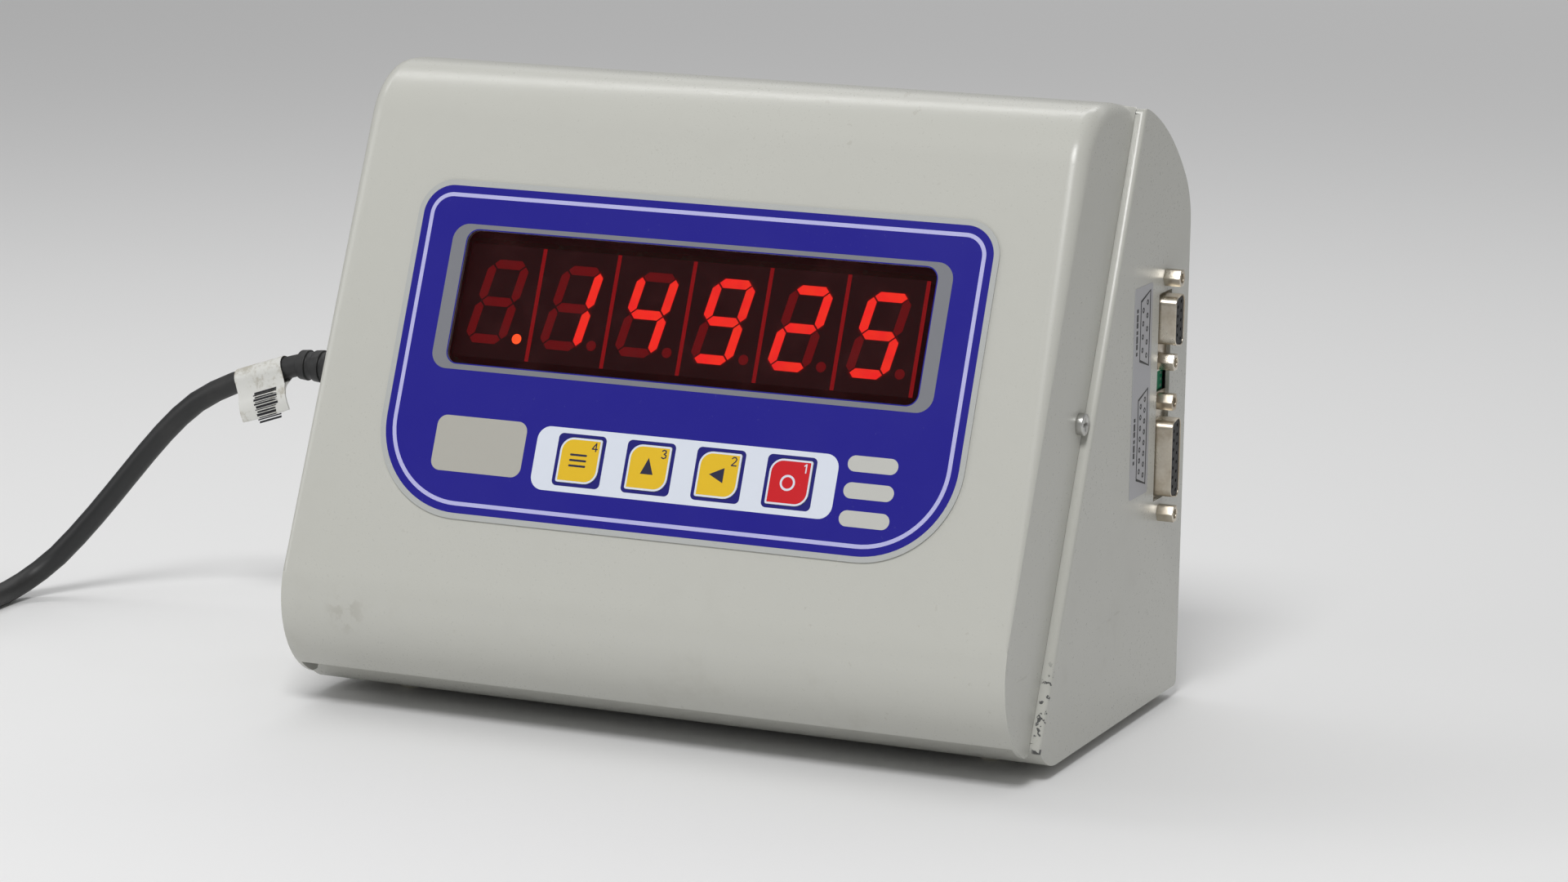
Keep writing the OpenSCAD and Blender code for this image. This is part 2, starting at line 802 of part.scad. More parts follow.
module transformer_clamp() color("silver") on_core() difference() {
  rotate([90, 0, 0]) linear_extrude(clamp_w, center = true) difference() {
    union() {
      translate([-core_w / 2 - clamp_t, 0]) square([core_w + 2 * clamp_t, core_h + clamp_t]);
      translate([-core_w / 2 - clamp_t - clamp_ear, 0]) square([core_w + 2 * (clamp_t + clamp_ear), clamp_t]);
    }
    translate([-core_w / 2, -cut]) square([core_w, core_h + cut]);
  }
  for (side = [-1, 1]) translate([side * clamp_hole_x, 0, -cut])
    cylinder(clamp_t + 2 * cut, r = clamp_screw_r + fit);
}

module transformer_screws() color("lightgray") on_core() for (side = [-1, 1])
  translate([side * clamp_hole_x, 0, 0]) {
    translate([0, 0, clamp_t]) cylinder(clamp_head_h, r = clamp_head_r);
    translate([0, 0, -sheet_t]) cylinder(sheet_t + clamp_t + clamp_head_h / 2, r = clamp_screw_r);
  }

// Side connectors: an outline with its long side upright and its wide side to the back
module port_outline(w, grow) {
  tall = w / 2 + grow;
  half = port_d_h / 2 + grow;
  lean = 2 * half * tan(port_slant);
  r = port_round + grow;
  rounded([[half, -tall], [half, tall], [-half, tall - lean], [-half, -tall + lean]], [r, r, r, r]);
}

module port_shell(w, pitch, z) color("silver") placed() translate([0, port_y, z]) difference() {
  union() {
    slab_x(port_edge - port_flange_t, port_edge)
      rounded_box(port_flange_w, pitch + 2 * port_ear, port_wall);
    slab_x(port_edge - port_flange_t, port_edge + shell_h) port_outline(w, 0);
  }
  slab_x(port_edge - port_flange_t - cut, port_edge + shell_h + cut) port_outline(w, -port_wall);
  for (side = [-1, 1]) slab_x(port_edge - port_flange_t - cut, port_edge + cut)
    translate([0, side * pitch / 2]) circle(lock_stud_r + fit);
}

module port_insulator(w, count, z) color("black") placed() translate([0, port_y, z]) difference() {
  union() {
    slab_x(port_edge - port_flange_t, port_edge + shell_h - port_recess) port_outline(w, -port_wall - fit);
    slab_x(port_board_x, port_edge - port_flange_t) square([port_rear_w, w], center = true);
  }
  for (row = [0, 1], i = [0 : count - 1 - row]) slab_x(port_edge + shell_h - port_recess - pin_depth, port_edge + shell_h + cut)
    translate([pin_rows / 2 - row * pin_rows, (i - (count - 1 - row) / 2) * pin_pitch]) circle(pin_r);
}

module connector_board() color("seagreen") placed() translate([0, port_y, 0])
  slab_x(port_board_x - board_t, port_board_x)
    translate([-port_board_w / 2, port_b_z - port_b_pitch / 2 - port_board_over])
      square([port_board_w, port_a_z - port_b_z + (port_a_pitch + port_b_pitch) / 2 + 2 * port_board_over]);

// Height and seat of each screw lock: the outer two sit on the panel, the inner two on the flanges
lock_places = [
  [port_a_z + port_a_pitch / 2, side_x],
  [port_a_z - port_a_pitch / 2, port_edge],
  [port_b_z + port_b_pitch / 2, port_edge],
  [port_b_z - port_b_pitch / 2, side_x]
];

module screw_locks() color("silver") placed() for (place = lock_places) translate([0, port_y, place.x])
  difference() {
    union() {
      slab_x(place.y, place.y + lock_l) hexagon(lock_af);
      slab_x(port_edge - lock_stud_l, place.y + lock_l / 4) circle(lock_stud_r);
    }
    slab_x(place.y + lock_l / 4, place.y + lock_l + cut) circle(lock_hole_r);
  }

module connector_sticker() color("darkgray") placed() slab_x(side_x, side_x + sticker_t)
  translate([port_y - slot_w / 2 - sticker_gap - sticker_w / 2, port_a_z - port_a_pitch / 2 - port_ear - port_ear])
    rounded_box(sticker_w, sticker_h, sticker_r);

module cover_screws() color("lightgray") placed() for (side = [-1, 1]) at_cheek_screw(side) {
  translate([0, 0, -screw_l]) cylinder(screw_l + fit + sheet_t + screw_head_h / 4, r = screw_r);
  translate([0, 0, fit + sheet_t]) difference() {
    cylinder(screw_head_h, r = screw_head_r);
    for (turn = [0, 90]) rotate(turn) translate([-cross_l / 2, -cross_w / 2, screw_head_h - cross_depth])
      cube([cross_l, cross_w, cross_depth + cut]);
  }
}

module feet() color("ivory") placed() for (x = [-foot_span / 2, foot_span / 2], y = [lip_mid.x + foot_front, back_y - foot_back])
  translate([x, y, 0]) rotate_extrude() intersection() {
    translate([0, foot_rise]) circle(foot_r);
    translate([0, -foot_h]) square([foot_r, foot_h]);
  }

// Mains inlet, with its recess open to the side
module recess_outline(grow) {
  w = recess_w / 2 + grow;
  h = recess_h / 2 + grow;
  c = recess_cut;
  polygon([[-w, -h], [w, -h], [w, h - c], [w - c, h], [c - w, h], [-w, h - c]]);
}

module at_inlet() placed() translate([0, inlet_y, inlet_z]) children();

module inlet_body() color("black") at_inlet() difference() {
  union() {
    slab_x(-side_x - inlet_t, -side_x) rounded_box(inlet_w, inlet_h, inlet_round);
    slab_x(-side_x - inlet_t, -side_x + inlet_l) rounded_box(inlet_body_w, inlet_body_h, inlet_round - fit);
  }
  slab_x(-side_x - inlet_t - cut, -side_x - inlet_t + recess_depth) recess_outline(0);
  for (place = blade_places) slab_x(-side_x, -side_x + inlet_l + cut) translate(place)
    square([blade_t, blade_w] + 2 * [running_gap, running_gap], center = true);
  for (side = [-1, 1]) translate([0, side * inlet_pitch / 2, 0]) {
    slab_x(-side_x - inlet_t - cut, -side_x + cut) circle(inlet_screw_r + running_gap);
    slab_x(-side_x - inlet_t - cut, -side_x - inlet_t / 2) circle(inlet_head_r + running_gap);
  }
}

blade_places = [[-blade_side, -blade_rise / 2], [blade_side, -blade_rise / 2], [0, blade_rise / 2]];

module inlet_pins() color("silver") at_inlet() for (place = blade_places)
  slab_x(-side_x - inlet_t + recess_depth - blade_l, -side_x + inlet_l + blade_tail)
    translate(place) square([blade_t, blade_w], center = true);

module inlet_screws() color("lightgray") at_inlet() for (side = [-1, 1]) translate([0, side * inlet_pitch / 2, 0]) {
  slab_x(-side_x - inlet_t / 2, -side_x - inlet_t / 2 + inlet_screw_l) circle(inlet_screw_r);
  slab_x(-side_x - inlet_t, -side_x - inlet_t / 2) circle(inlet_head_r);
}

// Mains switch: local x is depth into the case from the panel
module at_rocker() placed() translate([-side_x, inlet_y, rocker_z]) children();

module rocker_frame() color("black") at_rocker() difference() {
  union() {
    slab_x(-rocker_out, 0) rounded_box(rocker_w, rocker_h, rocker_step);
    slab_x(-rocker_out, rocker_depth) square([rocker_w, rocker_h] - 2 * [rocker_step, rocker_step], center = true);
  }
  slab_x(-rocker_out - cut, rocker_depth - rocker_wall)
    square([rocker_w, rocker_h] - 2 * (rocker_step + rocker_wall) * [1, 1], center = true);
  translate([rocker_pivot, 0, 0]) rotate([90, 0, 0])
    cylinder(rocker_w - 2 * rocker_step - rocker_wall, r = rocker_pin_r + running_gap, center = true);
}

module rocker_button() color("darkslategray") at_rocker() translate([rocker_pivot, 0, 0]) rotate([90, rocker_turn, 0]) {
  linear_extrude(button_w, center = true) polygon([
    [-button_rise, -button_half],
    [-button_dip, 0],
    [-button_rise, button_half],
    [button_sides, button_half],
    [button_tail, button_tail_half],
    [button_tail, -button_tail_half],
    [button_sides, -button_half]
  ]);
  cylinder(rocker_w - 2 * rocker_step - rocker_wall - running_gap, r = rocker_pin_r, center = true);
}

// Mains connector on the lead
module cord_connector() color("black") at_inlet() difference() {
  union() {
    slab_x(tip_x + relief_l, -side_x - inlet_t - face_gap) rounded_box(grip_w, grip_h, grip_r);
    slab_x(-side_x - inlet_t - grip_l / 2, -side_x - inlet_t + recess_depth - nose_end)
      recess_outline(-nose_fit);
    translate([tip_x, 0, 0]) rotate([0, 90, 0]) relief(relief_l, relief_tip_r, relief_r, relief_ribs);
  }
  for (place = blade_places) slab_x(-side_x - inlet_t + recess_depth - blade_l - cut, -side_x - inlet_t + recess_depth)
    translate(place) square([blade_t, blade_w] + 2 * [nose_fit, nose_fit], center = true);
}

// Ribbed strain relief along +Z, narrow end first
module relief(l, r0, r1, ribs) {
  step = l / ribs;
  rotate_extrude() polygon([
    [0, 0],
    for (i = [0 : ribs - 1])
      let (a = r0 + (r1 - r0) * i / ribs, b = r0 + (r1 - r0) * (i + 1) / ribs)
      each [
        [a, i * step],
        [b, (i + rib_share) * step],
        [b * rib_dip_share, (i + rib_share) * step],
        [b * rib_dip_share, (i + 1) * step]
      ],
    [r1, l],
    [0, l]
  ]);
}

// Unit vectors of a tube's ring: across level, then the rest
function level_side(t) = unit(cross(t, [0, 0, 1]));

// Direction of a path at one of its points
function heading(path, i) = unit(path[min(i + 1, len(path) - 1)] - path[max(i - 1, 0)]);

// Tube of a given radius along a path, closed at both ends, with square ends
module tube(path, r, sides, ends) {
  n = len(path);
  points = [
    for (i = [0 : n - 1])
      let (t = i == 0 ? ends[0] : i == n - 1 ? ends[1] : heading(path, i), s = level_side(t), u = cross(s, t))
      for (k = [0 : sides - 1])
        let (a = 360 * (k + 0.5) / sides) path[i] + r * (cos(a) * s + sin(a) * u),
    path[0],
    path[n - 1]
  ];
  faces = [
    for (i = [0 : n - 2], k = [0 : sides - 1])
      let (a = i * sides + k, b = i * sides + (k + 1) % sides)
      each [[a, a + sides, b], [b, a + sides, b + sides]],
    for (k = [0 : sides - 1]) [n * sides, k, (k + 1) % sides],
    for (k = [0 : sides - 1]) [n * sides + 1, (n - 1) * sides + (k + 1) % sides, (n - 1) * sides + k]
  ];
  polyhedron(points, faces);
}

// Smooth path through a list of points, with a few steps in each span
function curve(p, steps) = [
  for (i = [0 : len(p) - 2], k = [0 : steps - 1])
    let (
      a = p[max(i - 1, 0)], b = p[i], c = p[i + 1], d = p[min(i + 2, len(p) - 1)],
      t = k / steps
    )
    ((2 * b) + (c - a) * t + (2 * a - 5 * b + 4 * c - d) * t * t + (3 * b - a - 3 * c + d) * t * t * t) / 2,
  p[len(p) - 1]
];

lead_tip = [tip_x, inlet_y, lead_z];
coil_start = [coil_mid.x + coil_out_r, coil_mid.y + cord_d, coil_low];
lead_path = curve([lead_tip, each cord_points, coil_start], lead_steps);

// Coil's path: in along the floor, up a layer where it turns back, then out again
coil_last = coil_turns * coil_steps;
function coil_radius(t) = coil_in_r + coil_pitch * abs(t - coil_turns / 2);
function coil_level(t) = coil_low + coil_pitch * min(max(2 * (t - coil_turns / 2) + 0.5, 0), 1);
function coil_point(t) = [
  coil_mid.x + coil_radius(t) * cos(360 * t),
  coil_mid.y - coil_radius(t) * sin(360 * t),
  coil_level(t)
];
coil_loops = [for (i = [0 : coil_last]) coil_point(i / coil_steps)];
coil_end = coil_loops[len(coil_loops) - 1] - [cord_d, 0, 0];
coil_path = [coil_start, each coil_loops, coil_end];
tail_end = coil_end - [tail_l, 0, 0];
coil_least = min([
  for (i = [0 : len(coil_path) - 1], k = [i + coil_steps / 2 : 1 : len(coil_path) - 1]) norm(coil_path[i] - coil_path[k])
]) - cord_d;
lead_length = path_length(lead_path) + path_length(coil_path) + tail_l;
function path_length(p) = sum_all([for (i = [1 : len(p) - 1]) norm(p[i] - p[i - 1])]);
function sum_all(v) = v * [for (x = v) 1];
echo(least_gap_in_coil = coil_least, cord_length = lead_length);

// Free stretch from the connector to the coil, and the short one from the coil to the plug
module mains_cord() color("darkslategray") placed() translate([0, 0, -foot_h]) {
  tube(lead_path, cord_r, cord_sides, [[-1, 0, 0], [0, -1, 0]]);
  tube([coil_end, tail_end], cord_r, cord_sides, [[-1, 0, 0], [-1, 0, 0]]);
}

module cord_coil() color("darkslategray") placed() translate([0, 0, -foot_h])
  tube(coil_path, cord_r, coil_sides, [[0, -1, 0], [-1, 0, 0]]);

// Strap round the coil's turns at its back
module cord_tie() color("dimgray") placed() {
  wide = coil_out_r - coil_in_r + cord_d + 2 * tie_gap;
  low = tie_t;
  high = coil_high + cord_r + tie_gap;
  translate([coil_mid.x, coil_mid.y + (coil_out_r + coil_in_r) / 2, (low + high) / 2 - foot_h])
    slab_x(-tie_w / 2, tie_w / 2) difference() {
      rounded_box(wide + 2 * tie_t, high - low + 2 * tie_t, tie_r + tie_t);
      rounded_box(wide, high - low, tie_r);
    }
}

// Folded paper flag round the cord, next to the strain relief
module flag_label() color("white") placed() translate(cord_points[0] - [0, 0, foot_h]) rotate([0, -flag_turn, 0])
  slab_x(-flag_l, 0) {
    difference() {
      circle(cord_r + flag_t + face_gap);
      circle(cord_r + face_gap);
    }
    rotate(180 + flag_droop) translate([flag_t, -cord_r - face_gap - flag_t]) square([flag_h, flag_t]);
  }

// Plug at the coil's end, pointing to -X
module at_plug() placed() translate(tail_end - [0, 0, foot_h]) rotate([0, -90, 0]) children();

module mains_plug() color("black") at_plug() {
  relief(plug_relief_l, relief_tip_r, plug_relief_r, relief_ribs - 1);
  translate([0, 0, plug_relief_l - fit]) linear_extrude(plug_l + fit) rounded_box(plug_h, plug_w, plug_r);
}

module plug_pins() color("silver") at_plug() translate([0, 0, plug_relief_l + plug_l]) {
  for (side = [-1, 1]) linear_extrude(plug_blade_l)
    translate([plug_blade_rise, side * plug_blade_span / 2]) square([plug_blade_w, plug_blade_t], center = true);
  translate([-plug_pin_drop, 0, 0]) cylinder(plug_pin_l, r = plug_pin_r);
}

front_cover();
rear_shell();
overlay_label();
display_filter();
digit_module(0);  // digit_module_1
digit_module(1);  // digit_module_2
digit_module(2);  // digit_module_3
digit_module(3);  // digit_module_4
digit_module(4);  // digit_module_5
digit_module(5);  // digit_module_6
display_board();
display_standoffs();
display_nuts();
key_pad(0);  // key_pad_1
key_pad(1);  // key_pad_2
key_pad(2);  // key_pad_3
key_pad(3);  // key_pad_4
switch_plunger(0);  // switch_plunger_1
switch_plunger(1);  // switch_plunger_2
switch_plunger(2);  // switch_plunger_3
switch_plunger(3);  // switch_plunger_4
tact_switch(0);  // tact_switch_1
tact_switch(1);  // tact_switch_2
tact_switch(2);  // tact_switch_3
tact_switch(3);  // tact_switch_4
main_board();
board_pillars();
board_screws();
capacitors();
regulator_sink();
fuse();
fuse_clips();
ribbon_cable();
ribbon_headers();
transformer_core();
transformer_winding();
transformer_clamp();
transformer_screws();
connector_board();
port_shell(port_a_w, port_a_pitch, port_a_z);  // port_a_shell
port_insulator(port_a_w, 5, port_a_z);  // port_a_insulator
port_shell(port_b_w, port_b_pitch, port_b_z);  // port_b_shell
port_insulator(port_b_w, 8, port_b_z);  // port_b_insulator
screw_locks();
connector_sticker();
cover_screws();
feet();
inlet_body();
inlet_pins();
inlet_screws();
rocker_frame();
rocker_button();
cord_connector();
flag_label();
mains_cord();
cord_coil();
cord_tie();
mains_plug();
plug_pins();
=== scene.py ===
"""Dresses the weighing indicator's frame: paint, printed face, display, ports, mains lead and studio."""

import logging
import math
from collections.abc import Callable
from dataclasses import dataclass, field
from enum import Enum

import bmesh
import bpy
from mathutils import Matrix, Vector

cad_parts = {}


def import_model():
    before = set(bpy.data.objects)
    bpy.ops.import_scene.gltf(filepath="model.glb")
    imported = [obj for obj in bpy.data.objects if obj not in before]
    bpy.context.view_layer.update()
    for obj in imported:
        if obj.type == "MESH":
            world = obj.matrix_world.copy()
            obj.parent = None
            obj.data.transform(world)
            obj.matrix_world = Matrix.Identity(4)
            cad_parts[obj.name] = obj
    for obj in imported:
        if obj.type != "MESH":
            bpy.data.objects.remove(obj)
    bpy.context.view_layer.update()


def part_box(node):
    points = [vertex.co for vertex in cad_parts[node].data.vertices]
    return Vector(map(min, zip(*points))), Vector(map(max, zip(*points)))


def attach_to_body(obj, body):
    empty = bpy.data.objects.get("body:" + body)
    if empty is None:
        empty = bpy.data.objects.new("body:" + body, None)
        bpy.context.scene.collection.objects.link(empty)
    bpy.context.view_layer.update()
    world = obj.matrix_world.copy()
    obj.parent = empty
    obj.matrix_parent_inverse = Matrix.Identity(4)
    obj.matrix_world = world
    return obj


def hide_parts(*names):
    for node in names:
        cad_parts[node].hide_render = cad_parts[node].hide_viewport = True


MM = 0.001
MIX_FACTOR, MIX_LOW, MIX_HIGH, MIX_RESULT = 0, 6, 7, 2
TOLERANCE = 0.05
SAME_SPOT = 2e-6
SMOOTH_BELOW = math.radians(32)
log = logging.getLogger("indicator")

Colour = tuple[float, float, float]
Point = tuple[float, float]
Outline = list[Point]
Radii = tuple[float, float, float, float]
Place = tuple[float, float, float]
EdgeTest = Callable[[bmesh.types.BMEdge], bool]


class Body(Enum):
    """Bodies of the frame that pieces ride on."""

    CASE = "case"
    KEY_1 = "key_1"
    KEY_2 = "key_2"
    KEY_3 = "key_3"
    KEY_4 = "key_4"
    ROCKER = "rocker"


class Segment(Enum):
    """Bars of a seven-segment digit."""

    TOP = "a"
    UPPER_RIGHT = "b"
    LOWER_RIGHT = "c"
    BOTTOM = "d"
    LOWER_LEFT = "e"
    UPPER_LEFT = "f"
    MIDDLE = "g"


GLYPHS: dict[str, str] = {" ": "", "1": "bc", "2": "abged", "4": "fgbc", "5": "afgcd", "9": "abcdfg"}


class Value:
    """A socket in a shader graph with arithmetic that adds Math nodes."""

    def __init__(self, graph: "Graph", socket: bpy.types.NodeSocket) -> None:
        """Wraps a socket."""
        self.graph = graph
        self.socket = socket

    def _math(self, operation: str, *terms: "Value | float") -> "Value":
        """Adds one Math node."""
        return self.graph.add("ShaderNodeMath", {"operation": operation}, dict(enumerate(terms)))

    def __add__(self, other: "Value | float") -> "Value":
        """Returns the sum."""
        return self._math("ADD", self, other)

    def __radd__(self, other: float) -> "Value":
        """Returns the sum."""
        return self._math("ADD", other, self)

    def __sub__(self, other: "Value | float") -> "Value":
        """Returns the difference."""
        return self._math("SUBTRACT", self, other)

    def __rsub__(self, other: float) -> "Value":
        """Returns the reflected difference."""
        return self._math("SUBTRACT", other, self)

    def __mul__(self, other: "Value | float") -> "Value":
        """Returns the product."""
        return self._math("MULTIPLY", self, other)

    def __rmul__(self, other: float) -> "Value":
        """Returns the product."""
        return self._math("MULTIPLY", other, self)

    def above(self, limit: float, width: float) -> "Value":
        """Ramps smoothly from 0 to 1 round a limit.

        Args:
            limit: The middle of the ramp.
            width: The ramp's whole width.

        Returns:
            The ramped value.
        """
        settings = {"interpolation_type": "SMOOTHSTEP"}
        links = {"Value": self, "From Min": limit - width / 2, "From Max": limit + width / 2}
        return self.graph.add("ShaderNodeMapRange", settings, links)

    def below(self, limit: float, width: float) -> "Value":
        """Ramps smoothly from 1 to 0 round a limit."""
        return 1.0 - self.above(limit, width)


class Graph:
    """A material's node tree."""

    def __init__(self, name: str) -> None:
        """Starts an empty material.

        Args:
            name: The material's name.
        """
        self.material = bpy.data.materials.new(name)
        self.material.use_nodes = True
        self.tree = self.material.node_tree
        self.tree.nodes.clear()

    def add(self, kind: str, settings: dict, inputs: dict, output: str | int = 0) -> Value:
        """Adds a node, sets it and feeds its sockets.

        Args:
            kind: The node's type name.
            settings: Attributes to set first.
            inputs: Socket name or number to a value or a Value.
            output: The output socket to return.

        Returns:
            The wrapped output socket.
        """
        node = self.tree.nodes.new(kind)
        for key, setting in settings.items():
            setattr(node, key, setting)
        for key, term in inputs.items():
            if isinstance(term, Value):
                self.tree.links.new(term.socket, node.inputs[key])
            else:
                node.inputs[key].default_value = term
        return Value(self, node.outputs[output])

    def place(self) -> Value:
        """Gives the Object coordinates."""
        return self.add("ShaderNodeTexCoord", {}, {}, "Object")

    def axis(self, name: str) -> Value:
        """Gives one of the Object coordinates in metres."""
        return self.add("ShaderNodeSeparateXYZ", {}, {0: self.place()}, name)

    def noise(
        self, scale: float, detail: float = 3.0, rough: float = 0.55, where: Value | None = None
    ) -> Value:
        """Adds noise from 0 to 1."""
        inputs = {"Vector": where or self.place(), "Scale": scale, "Detail": detail, "Roughness": rough}
        return self.add("ShaderNodeTexNoise", {}, inputs, "Fac")

    def stretched(self, scale: Place, turn: float = 0.0) -> Value:
        """Stretches the Object coordinates, for streaks and scratches."""
        inputs = {"Vector": self.place(), "Rotation": (0.0, 0.0, turn), "Scale": scale}
        return self.add("ShaderNodeMapping", {}, inputs)

    def mix(self, factor: Value | float, low: "Value | tuple", high: "Value | tuple") -> Value:
        """Mixes two colours."""
        inputs = {MIX_FACTOR: factor, MIX_LOW: low, MIX_HIGH: high}
        return self.add("ShaderNodeMix", {"data_type": "RGBA"}, inputs, MIX_RESULT)

    def bump(self, height: Value, distance: float, strength: float = 1.0) -> Value:
        """Bends the normal by a height."""
        inputs = {"Height": height, "Distance": distance, "Strength": strength}
        return self.add("ShaderNodeBump", {}, inputs, "Normal")

    def surface(self, **sockets: "Value | float | tuple") -> bpy.types.Material:
        """Ends the graph with a principled surface.

        Args:
            sockets: Socket names with underscores for spaces, and what feeds them.

        Returns:
            The finished material.
        """
        inputs = {key.replace("_", " "): value for key, value in sockets.items()}
        shader = self.add("ShaderNodeBsdfPrincipled", {}, inputs)
        end = self.tree.nodes.new("ShaderNodeOutputMaterial")
        self.tree.links.new(shader.socket, end.inputs["Surface"])
        return self.material


def opaque(colour: Colour) -> tuple[float, float, float, float]:
    """Gives a colour full alpha."""
    return (*colour, 1.0)


@dataclass(frozen=True)
class Paint:
    """Powder coat with a fine peel, faint blotchy soiling that is darkened towards the bottom as painted
    shade, and a few scuffs.
    """

    name: str = "powder_coat"
    colour: Colour = (0.5, 0.5, 0.46)
    # The darker tone for soiling, scratches, scuffs and the painted shade low down.
    dirt_and_shade: Colour = (0.34, 0.325, 0.28)
    bare: Colour = (0.09, 0.09, 0.09)
    scuff_place: Point = (-0.0925, 0.033)
    scuff_reach: Point = (0.00003, 0.00006)
    seam_line: Point = (-0.0531, 0.437)
    seam_reach: Point = (0.0000022, 0.0000016)
    low_shade_band: Point = (0.035, 0.05)
    front_edge: Point = (-0.045, 0.006)
    side_edge: Point = (0.1128, 0.0012)
    chip_top: Point = (0.032, 0.008)
    cloud_scale: float = 9.0
    peel_scale: float = 1400.0
    grime_scale: float = 38.0
    chip_scale: float = 330.0
    scratch_scale: float = 420.0
    scuff_scale: float = 150.0
    gloss: float = 0.24

    def build(self) -> bpy.types.Material:
        """Builds the material.

        Returns:
            The material.
        """
        g = Graph(self.name)
        cloud = g.noise(self.cloud_scale, 4.0)
        grain = g.noise(self.peel_scale, 2.0)
        # Painted shade: the soiling blotches are darkened much more towards the bottom; only their faint
        # share over the whole case is soiling.
        low = g.axis("Z").below(*self.low_shade_band)
        grime_and_low_shade = (g.noise(self.grime_scale, 6.0, 0.7).above(0.62, 0.2) * (0.05 + 0.2 * low)) + cloud * 0.03
        tone = g.mix(grime_and_low_shade, opaque(self.colour), opaque(self.dirt_and_shade))
        tone = g.mix(self.chips(g), tone, opaque(self.bare))
        streak = g.stretched((1.0, 0.12, 1.0), 0.5)
        patch = g.noise(14.0).above(0.58, 0.1)
        scratch = g.noise(self.scratch_scale, 2.0, 0.5, streak).above(0.73, 0.03) * patch
        tone = g.mix(scratch * 0.3, tone, opaque(self.dirt_and_shade))
        near = self.scuffed(g)
        scuff = near * g.noise(self.scuff_scale, 4.0, 0.7, streak).above(0.5, 0.12) * 0.4
        return g.surface(
            Base_Color=g.mix(scuff, tone, opaque(self.dirt_and_shade)),
            Roughness=self.gloss + grain * 0.08 + grime_and_low_shade * 0.5 + near * 0.15,
            Specular_IOR_Level=0.5,
            Normal=g.bump(grain + cloud * 0.4, 0.00006, 0.35),
        )

    def chips(self, g: Graph) -> Value:
        """Finds the chipped paint low on the shell's bent edge, on the connector side.

        Args:
            g: The material's graph.

        Returns:
            1 where the paint is off.
        """
        seam = g.axis("Y") - self.seam_line[0] - g.axis("Z") * self.seam_line[1]
        edge = (seam * seam).below(*self.seam_reach) * g.axis("X").above(*self.side_edge)
        flakes = g.noise(self.chip_scale, 3.0, 0.6).above(0.57, 0.03)
        return flakes * edge * g.axis("Z").below(*self.chip_top)

    def scuffed(self, g: Graph) -> Value:
        """Finds the scuffed patch low on the front.

        Args:
            g: The material's graph.

        Returns:
            1 in the patch.
        """
        across, level = g.axis("X") - self.scuff_place[0], g.axis("Z") - self.scuff_place[1]
        front = g.axis("Y").below(*self.front_edge)
        return (across * across + level * level * 0.7).below(*self.scuff_reach) * front


@dataclass(frozen=True)
class Print:
    """Printed polyester film in one colour, faintly textured and marked."""

    name: str
    colour: Colour
    rough: float = 0.3
    marks: float = 0.06
    grain: float = 2200.0

    def build(self) -> bpy.types.Material:
        """Builds the material.

        Returns:
            The material.
        """
        g = Graph(self.name)
        dust = g.noise(900.0, 2.0).above(0.72, 0.04) * g.noise(60.0).above(0.5, 0.2)
        light = tuple(0.8 * part + 0.1 for part in self.colour)
        share = dust * self.marks * 3.0 + g.noise(30.0) * self.marks
        return g.surface(
            Base_Color=g.mix(share, opaque(self.colour), opaque(light)),
            Roughness=self.rough + g.noise(50.0, 4.0) * 0.12,
            Specular_IOR_Level=0.3,
            Normal=g.bump(g.noise(self.grain, 1.0), 0.00001, 0.25),
        )


@dataclass(frozen=True)
class Tint:
    """Dark red see-through acrylic."""

    name: str = "filter_acrylic"
    colour: Colour = (0.02, 0.0006, 0.001)
    smear: Colour = (0.3, 0.1, 0.1)
    cover: float = 0.42

    def build(self) -> bpy.types.Material:
        """Builds the material.

        Returns:
            The material.
        """
        g = Graph(self.name)
        haze = g.noise(25.0, 3.0)
        smear = g.noise(90.0, 5.0, 0.65).above(0.58, 0.2)
        tone = g.mix(smear * 0.05, opaque(self.colour), opaque(self.smear))
        return g.surface(
            Base_Color=tone,
            Roughness=0.12 + haze * 0.1,
            Alpha=self.cover + smear * 0.04,
            Specular_IOR_Level=0.25,
            Normal=g.bump(haze, 0.0001, 0.1),
        )


@dataclass(frozen=True)
class Glow:
    """Lit light bar with a warmer core; on the unlit bars and the modules' edges the same glow is painted
    light.
    """

    name: str
    colour: Colour
    glow: Colour
    power: float

    def build(self) -> bpy.types.Material:
        """Builds the material.

        Returns:
            The material.
        """
        g = Graph(self.name)
        spots = g.noise(240.0, 2.0)
        tone = g.mix(spots * 0.3, opaque(self.colour), opaque(self.glow))
        return g.surface(
            Base_Color=tone,
            Roughness=0.35 + spots * 0.1,
            Emission_Color=g.mix(spots, opaque(self.colour), opaque(self.glow)),
            Emission_Strength=self.power,
        )


@dataclass(frozen=True)
class Halo:
    """Light spilling from a lit bar, fading with the mesh's glow attribute."""

    name: str = "bar_halo"
    base: Colour = (0.035, 0.0006, 0.001)
    glow: Colour = (0.9, 0.004, 0.008)

    def build(self) -> bpy.types.Material:
        """Builds the material.

        Returns:
            The material.
        """
        g = Graph(self.name)
        share = g.add("ShaderNodeAttribute", {"attribute_name": "glow"}, {}, "Fac")
        fade = share * share * (0.9 + g.noise(300.0) * 0.2)
        return g.surface(
            Base_Color=opaque(self.base),
            Roughness=0.5 + g.noise(900.0) * 0.1,
            Emission_Color=g.mix(fade, (0.0, 0.0, 0.0, 1.0), opaque(self.glow)),
            Emission_Strength=1.0,
        )


